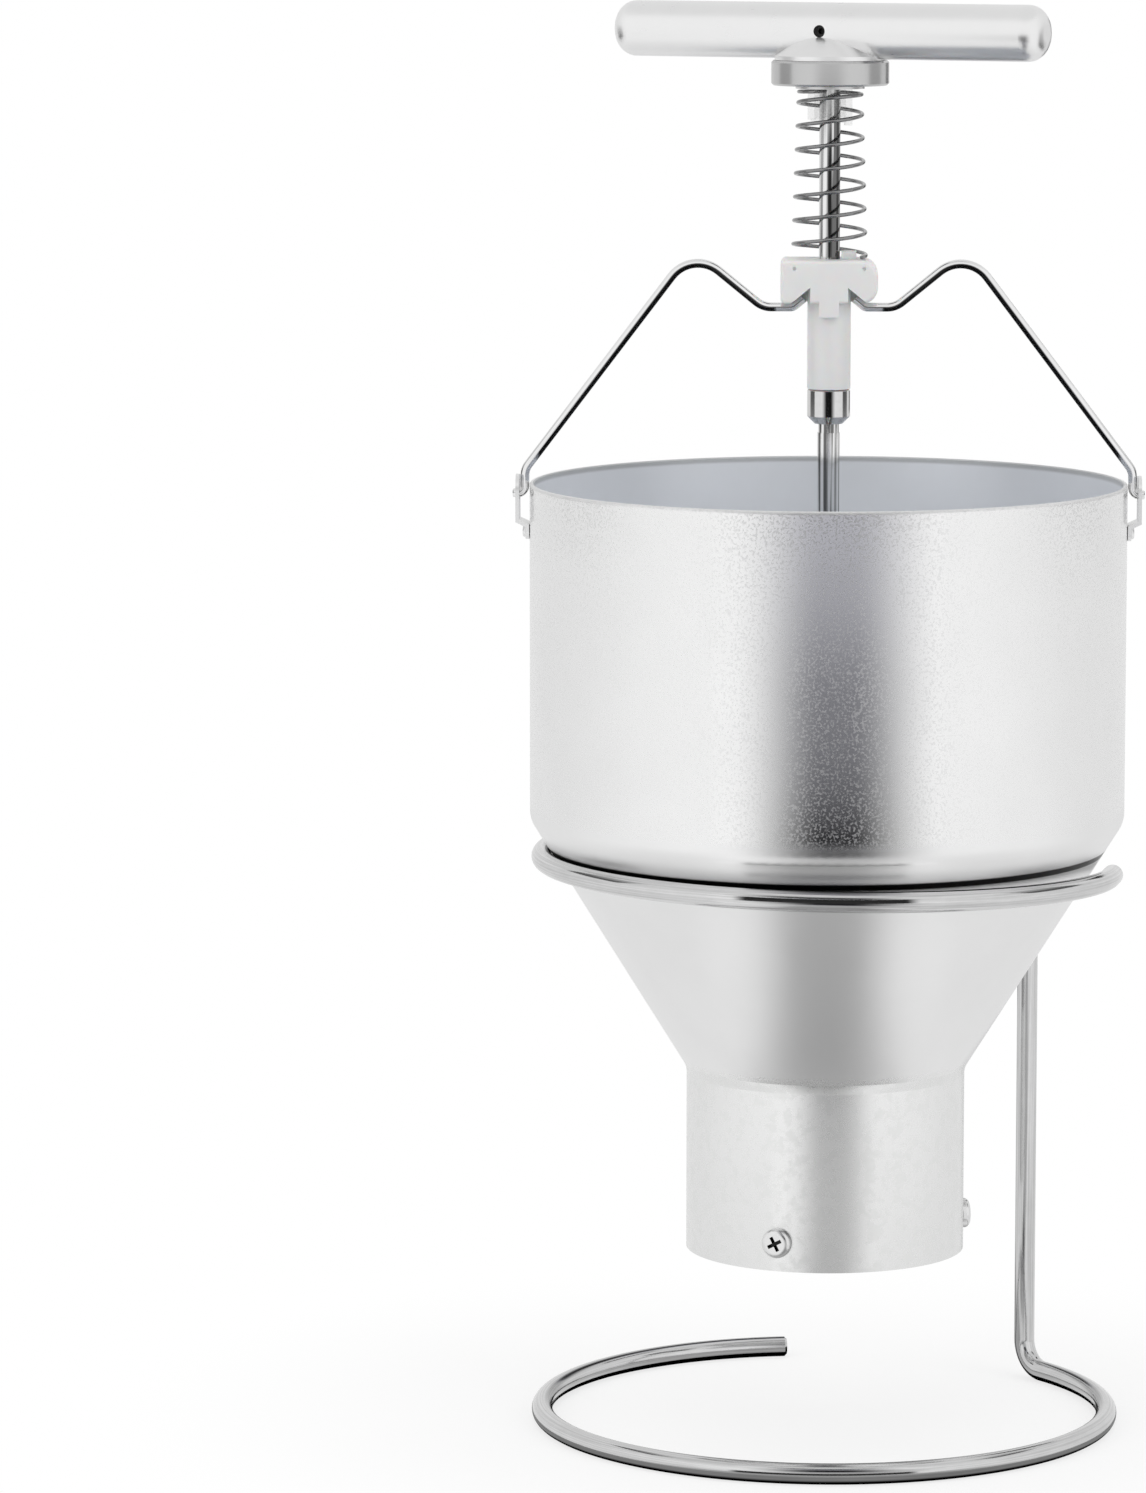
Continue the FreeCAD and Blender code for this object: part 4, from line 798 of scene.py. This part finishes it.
class DISPENSER_OT_plunger(bpy.types.Operator):
    """Finish the plunger, from the cutter disc up to the dial"""
    bl_idname = "dispenser.plunger"
    bl_label = "Finish Plunger"

    def execute(self, context):
        dress("coupling_ferrule", bright_steel("polished_steel", grey=0.70, roughness=0.05,
                                               ringed=0.0))
        rod_reflections = painted_reflection_rod("painted_reflection_rod_steel")
        for node in ("lower_rod", "upper_shaft"):
            dress(node, rod_reflections)
        steel = bright_steel("cutter_steel", grey=0.66, roughness=0.26)
        for node in ("cutter_disc", "cutter_screw", "spacer_tube", "piston_nut",
                     "spring_washer"):
            dress(node, steel)
        dress("piston", moulded_nylon("nylon_piston", grey=0.76, roughness=0.36))
        dress("stop_sleeve", clear_plastic("clear_stop_plastic"))
        dress("thickness_dial", turned_aluminium("turned_dial", grey=0.58, roughness=0.24))
        return {"FINISHED"}


class DISPENSER_OT_handle(bpy.types.Operator):
    """Finish the handle and its set screw"""
    bl_idname = "dispenser.handle"
    bl_label = "Finish Handle"

    def execute(self, context):
        look = context.scene.dispenser_look
        dress("handle_bar", turned_aluminium("polished_handle", look.handle, roughness=0.3))
        dress("handle_set_screw", bright_steel("black_screw_steel", grey=0.05, roughness=0.55))
        return {"FINISHED"}


# Stage

def panel(name, points):
    """Open sheet over a grid of points, for the floor and what reflects in the metal."""
    rows, columns = points.shape[:2]
    index = np.arange(rows * columns).reshape(rows, columns)
    faces = np.stack([index[:-1, :-1], index[:-1, 1:], index[1:, 1:], index[1:, :-1]], axis=-1)
    mesh = bpy.data.meshes.new(name)
    mesh.from_pydata(points.reshape(-1, 3), [], faces.reshape(-1, 4).tolist())
    mesh.update()
    sheet = bpy.data.objects.new(name, mesh)
    bpy.context.scene.collection.objects.link(sheet)
    return sheet


def seen_only_in_gloss(sheet):
    """Leave a panel out of all that is rendered but reflections."""
    sheet.visible_camera = False
    sheet.visible_diffuse = False
    sheet.visible_transmission = False
    sheet.visible_volume_scatter = False
    sheet.visible_shadow = False


def soft_lamp(name, place, aim_height, side):
    """Square area lamp at a place, turned to look at a height on the axis."""
    data = bpy.data.lights.new(name, "AREA")
    data.shape = "SQUARE"
    data.size = side
    data.energy = LAMP_POWER
    lamp = bpy.data.objects.new(name, data)
    bpy.context.scene.collection.objects.link(lamp)
    x, y, z = place
    lamp.location = place
    lamp.rotation_euler = (math.atan2(math.hypot(x, y), z - aim_height), 0.0, math.atan2(x, -y))
    lamp.visible_glossy = False


# Grey levels of cards that show only in reflections, by share of the height of an upright card's
# head or of the distance of a flat card's end, and how much bluer than grey they are
BLACK = (((0.0, 0.03), (1.0, 0.03)), 0.0)
DIM = (((0.0, 0.53), (1.0, 0.53)), 0.0)
WALL = (((0.306, 0.42), (0.34, 0.04), (0.605, 0.0), (0.634, 0.065), (0.655, 0.115), (0.70, 0.175),
         (0.74, 0.20), (0.78, 0.21), (0.82, 0.27), (0.863, 0.355), (0.91, 0.41), (1.0, 0.50)), 0.09)
SHAFT = (((0.70, 0.01), (0.735, 0.01), (0.765, 0.09), (0.93, 0.13), (1.0, 0.95)), 0.0)
SIDE = (((0.616, 0.36), (0.64, 0.16), (0.66, 0.10), (0.74, 0.14), (0.80, 0.36), (0.9, 0.5),
         (1.0, 0.8)), 0.0)
FLOOR = (((0.0, 0.46), (1.0, 0.36)), 0.0)
# Distances in X from a middle line between which a card fades, the X of that line, and the grey
# that the card fades to: a whole card ends before it fades
WHOLE = (2.0, 3.0, 0.0, 1.0)
FOOT_FADE = (0.046, 0.053, 0.0, 1.0)
TUBE_FADE = (0.035, 0.155, 0.028, 1.0)
RING_FADE = (0.028, 0.034, 0.0, 1.0)
WALL_FADE = (0.02, 0.145, 0.013, 1.0)
BACK_TUBE_FADE = (0.02, 0.11, 0.0, 0.86)
BACK_WALL_FADE = (0.01, 0.11, 0.0, 0.86)
SHAFT_FADE = (0.05, 0.165, 0.0, 1.0)
FLOOR_FADE = (0.04, 0.10, 0.0, 0.89)
BACK_FLOOR_FADE = (0.04, 0.10, 0.0, 0.86)
# Upright cards: name, radius, first and last turn in degrees, foot and head, levels and fade, and
# then the points across and up each of them
CARDS = (
    ("foot_card", 0.132, -30, 30, 0.0005, 0.012, BLACK, FOOT_FADE),
    ("tube_card", 0.26, -40, 40, 0.0, 0.095, DIM, TUBE_FADE),
    ("ring_card", 0.1035, -24, 24, 0.1922, 0.1970, BLACK, RING_FADE),
    ("wall_card", 0.26, -36, 36, 0.095, 0.31, WALL, WALL_FADE),
    ("back_tube_card", 0.26, 154, 206, 0.0, 0.095, DIM, BACK_TUBE_FADE),
    ("back_wall_card", 0.26, 154, 206, 0.095, 0.31, WALL, BACK_WALL_FADE),
    ("shaft_card", 0.26, -40, 40, 0.314, 0.450, SHAFT, SHAFT_FADE),
    ("left_card", 0.34, -114, -80, 0.308, 0.50, SIDE, WHOLE),
    ("right_card", 0.34, 80, 114, 0.308, 0.50, SIDE, WHOLE),
    ("rear_card", 0.4, 139, 152, 0.31, 0.52, BLACK, WHOLE),
)
CARD_GRID = (33, 23)
# Flat cards: name, end and fade, and then half their width, their start as a share of their end,
# how high over the floor they lie, and the points along a side
FLOOR_CARDS = (("floor_card", -0.4, FLOOR_FADE), ("back_floor_card", 0.4, BACK_FLOOR_FADE))
FLOOR_CARD_SIDE = 0.16
FLOOR_CARD_START = 0.05
FLOOR_CARD_LIFT = 0.0001
FLOOR_CARD_POINTS = 9
# Points round and across the ring of painted contact shadow, and how high it lies
CONTACT_GRID = (121, 9)
CONTACT_LIFT = 0.0002
# Half the side of the floor, the share of its own shading that it keeps near the dispenser, and
# the distances from the axis between which it loses that and its grey
FLOOR_SIDE = 8.0
FLOOR_SHADING = 0.26
SHADING_ENDS = (0.12, 0.26)
GREY_ENDS = (0.25, 0.6)
# Greys of the floor near the dispenser, and of the tent in front, behind and above
NEAR_GREY = 0.82
FRONT_GREY = 0.97
BACK_GREY = 0.83
TOP_GREY = 0.80
# Lamps: name, place, the height on the axis at which they look, and their side
LAMPS = (("left_softbox", (-1.5, -1.1, 1.1), 0.25, 1.2),
         ("right_softbox", (1.5, -1.1, 1.1), 0.25, 1.2),
         ("top_softbox", (0.0, 0.2, 1.9), 0.2, 1.4))
LAMP_POWER = 9.0


def tent_grey(graph, y, reach):
    """White in front of the dispenser that falls to a light grey at its sides and back."""
    return graph.blend((y / reach).within(-0.7, 0.7), tone(FRONT_GREY), tone(BACK_GREY))


def pale_floor():
    """White matt floor that keeps a shadow near the dispenser and is plain white further out."""
    finish = Finish("pale_floor", Roughness=1.0, Specular_IOR_Level=0.0)
    x, y = finish.axes()[:2]
    reach = length(x, y)
    mottle = finish.noise(9.0, 2.0, 0.5)
    finish.feed("Base Color", finish.blend(mottle, tone(0.93), tone(0.95)))
    camera, mirrored, through = finish.seen_by()
    plain = 1 - FLOOR_SHADING + reach.within(*SHADING_ENDS) * FLOOR_SHADING
    share = camera * plain + mirrored + through
    near = finish.blend(reach.within(*GREY_ENDS), tone(NEAR_GREY), tent_grey(finish, y, reach))
    white = finish.node("ShaderNodeEmission", None,
                        {"Color": finish.blend(mirrored, tone(1.0), near)}, output="Emission")
    mixed = finish.node("ShaderNodeMixShader", None, {
        0: share, 1: Value(finish, finish.shader.outputs["BSDF"]), 2: white}, output="Shader")
    finish.tree.links.new(mixed.socket, finish.tree.nodes["Material Output"].inputs["Surface"])
    return finish


def card_finish(name):
    """Finish that shines by its Emission Color alone."""
    return Finish(name, Base_Color=(0, 0, 0, 1), Roughness=1.0, Specular_IOR_Level=0.0,
                  Emission_Strength=1.0)


def contact_shadow_ring(name, inner, edge, outer):
    """Flat dark ring on the floor that shows only in reflections as a painted contact shadow of the
    base ring, lighter past its edge. A point is its reach outwards at its turn."""
    turn, reach = np.meshgrid(np.linspace(0.0, 2 * math.pi, CONTACT_GRID[0]),
                              np.linspace(inner, outer, CONTACT_GRID[1]))
    sheet = panel(name, np.stack([reach * np.sin(turn), -reach * np.cos(turn),
                                  0 * turn + CONTACT_LIFT], axis=-1))
    finish = card_finish(name)
    x, y = finish.axes()[:2]
    rim = length(x, y).within(edge, edge + 0.0015)
    # Painted shadow: black inside the edge, grey beyond
    finish.feed("Emission Color", finish.blend(rim, tone(0.0), tone(0.27)))
    sheet.data.materials.append(finish.material)
    seen_only_in_gloss(sheet)


def reflected_card(name, points, axis, whole, levels, fade):
    """Grey card that shows only in reflections. Its level changes along one axis, by share of
    the whole, and fades to another grey at its two sides."""
    card = panel(name, points)
    finish = card_finish(name)
    stops, blue = levels
    near, far, middle, beyond = fade
    places = finish.axes()
    level = finish.node("ShaderNodeValToRGB", {
        "stops": [(place, tone(grey, 0.0, grey * blue)) for place, grey in stops]},
        {"Fac": places[axis] / whole})
    aside = abs(places[0] - middle)
    finish.feed("Emission Color", finish.blend(aside.within(near, far), level, tone(beyond)))
    card.data.materials.append(finish.material)
    seen_only_in_gloss(card)


class DISPENSER_OT_stage(bpy.types.Operator):
    """Set up the camera, the floor and the light tent"""
    bl_idname = "dispenser.stage"
    bl_label = "Set Stage"

    def execute(self, context):
        size = context.scene.dispenser_stage
        scene = context.scene
        scene.view_settings.view_transform = "Standard"

        data = bpy.data.cameras.new("camera")
        data.sensor_width = 36.0
        data.lens = size.lens
        data.clip_end = 50.0
        camera = bpy.data.objects.new("camera", data)
        scene.collection.objects.link(camera)
        camera.location = (0.0, -size.distance, size.height)
        camera.rotation_euler = (math.pi / 2 - size.pitch, 0.0, size.yaw)
        scene.camera = camera

        reach = np.linspace(-FLOOR_SIDE, FLOOR_SIDE, 3)
        across, along = np.meshgrid(reach, reach)
        floor = panel("floor", np.stack([across, along, 0 * across], axis=-1))
        floor.data.materials.append(pale_floor().material)

        # A point of an upright card is the card's radius outwards at a turn from the front. A
        # flat card lies from near the axis to its end.
        for name, radius, first, last, foot, head, levels, fade in CARDS:
            turn, rise = np.meshgrid(np.radians(np.linspace(first, last, CARD_GRID[0])),
                                     np.linspace(foot, head, CARD_GRID[1]))
            points = np.stack([radius * np.sin(turn), -radius * np.cos(turn), rise], axis=-1)
            reflected_card(name, points, axis=2, whole=head, levels=levels, fade=fade)
        for name, end, fade in FLOOR_CARDS:
            across, along = np.meshgrid(
                np.linspace(-FLOOR_CARD_SIDE, FLOOR_CARD_SIDE, FLOOR_CARD_POINTS),
                np.linspace(end, end * FLOOR_CARD_START, FLOOR_CARD_POINTS))
            points = np.stack([across, along, 0 * across + FLOOR_CARD_LIFT], axis=-1)
            reflected_card(name, points, axis=1, whole=end, levels=FLOOR, fade=fade)
        contact_shadow_ring("contact_shadow_card", inner=0.0915, edge=0.0985, outer=0.1065)
        for name, place, aim_height, side in LAMPS:
            soft_lamp(name, place, aim_height, side)

        world = bpy.data.worlds.new("tent")
        scene.world = world
        world.use_nodes = True
        graph = Graph(world.node_tree)
        camera_ray, mirrored, through = graph.seen_by()
        seen = camera_ray.at_least(mirrored).at_least(through)
        x, y, z = graph.axes("Generated")
        sides = tent_grey(graph, y, length(x, y))
        tent = graph.blend(z.within(0.66, 0.86), sides, tone(TOP_GREY))
        sky = graph.node("ShaderNodeBackground", None, {
            "Color": graph.blend(mirrored, tone(1.0), tent),
            "Strength": size.fill + seen * (1 - size.fill)})
        output = world.node_tree.nodes["World Output"]
        world.node_tree.links.new(sky.socket, output.inputs["Surface"])
        return {"FINISHED"}


class DISPENSER_PT_panel(bpy.types.Panel):
    """Lists the dispenser's steps and sizes"""
    bl_label = "Dispenser"
    bl_idname = "DISPENSER_PT_panel"
    bl_space_type = "VIEW_3D"
    bl_region_type = "UI"
    bl_category = "Dispenser"

    def draw(self, context):
        for step in STEPS:
            self.layout.operator(step.bl_idname)
        for name, group in SETTINGS:
            box = self.layout.box()
            box.label(text=group.__doc__.rstrip("."))
            settings = getattr(context.scene, name)
            for setting in group.__annotations__:
                box.prop(settings, setting)


STEPS = (DISPENSER_OT_stage, DISPENSER_OT_stand, DISPENSER_OT_hopper, DISPENSER_OT_arms,
         DISPENSER_OT_guide, DISPENSER_OT_spring, DISPENSER_OT_plunger, DISPENSER_OT_handle)
SETTINGS = (("dispenser_look", LookSettings), ("dispenser_stand", StandSizes),
            ("dispenser_arms", ArmSizes), ("dispenser_spring", SpringSizes),
            ("dispenser_stage", StageSizes))


def register():
    for name, group in SETTINGS:
        bpy.utils.register_class(group)
        setattr(bpy.types.Scene, name, bpy.props.PointerProperty(type=group))
    for step in STEPS + (DISPENSER_PT_panel,):
        bpy.utils.register_class(step)


def unregister():
    for step in (DISPENSER_PT_panel,) + STEPS[::-1]:
        bpy.utils.unregister_class(step)
    for name, group in SETTINGS[::-1]:
        delattr(bpy.types.Scene, name)
        bpy.utils.unregister_class(group)


def main():
    register()
    bpy.ops.dispenser.stage()
    bpy.ops.dispenser.stand()
    bpy.ops.dispenser.hopper()
    bpy.ops.dispenser.arms()
    bpy.ops.dispenser.guide()
    bpy.ops.dispenser.spring()
    bpy.ops.dispenser.plunger()
    bpy.ops.dispenser.handle()


if __name__ == "__main__":
    main()
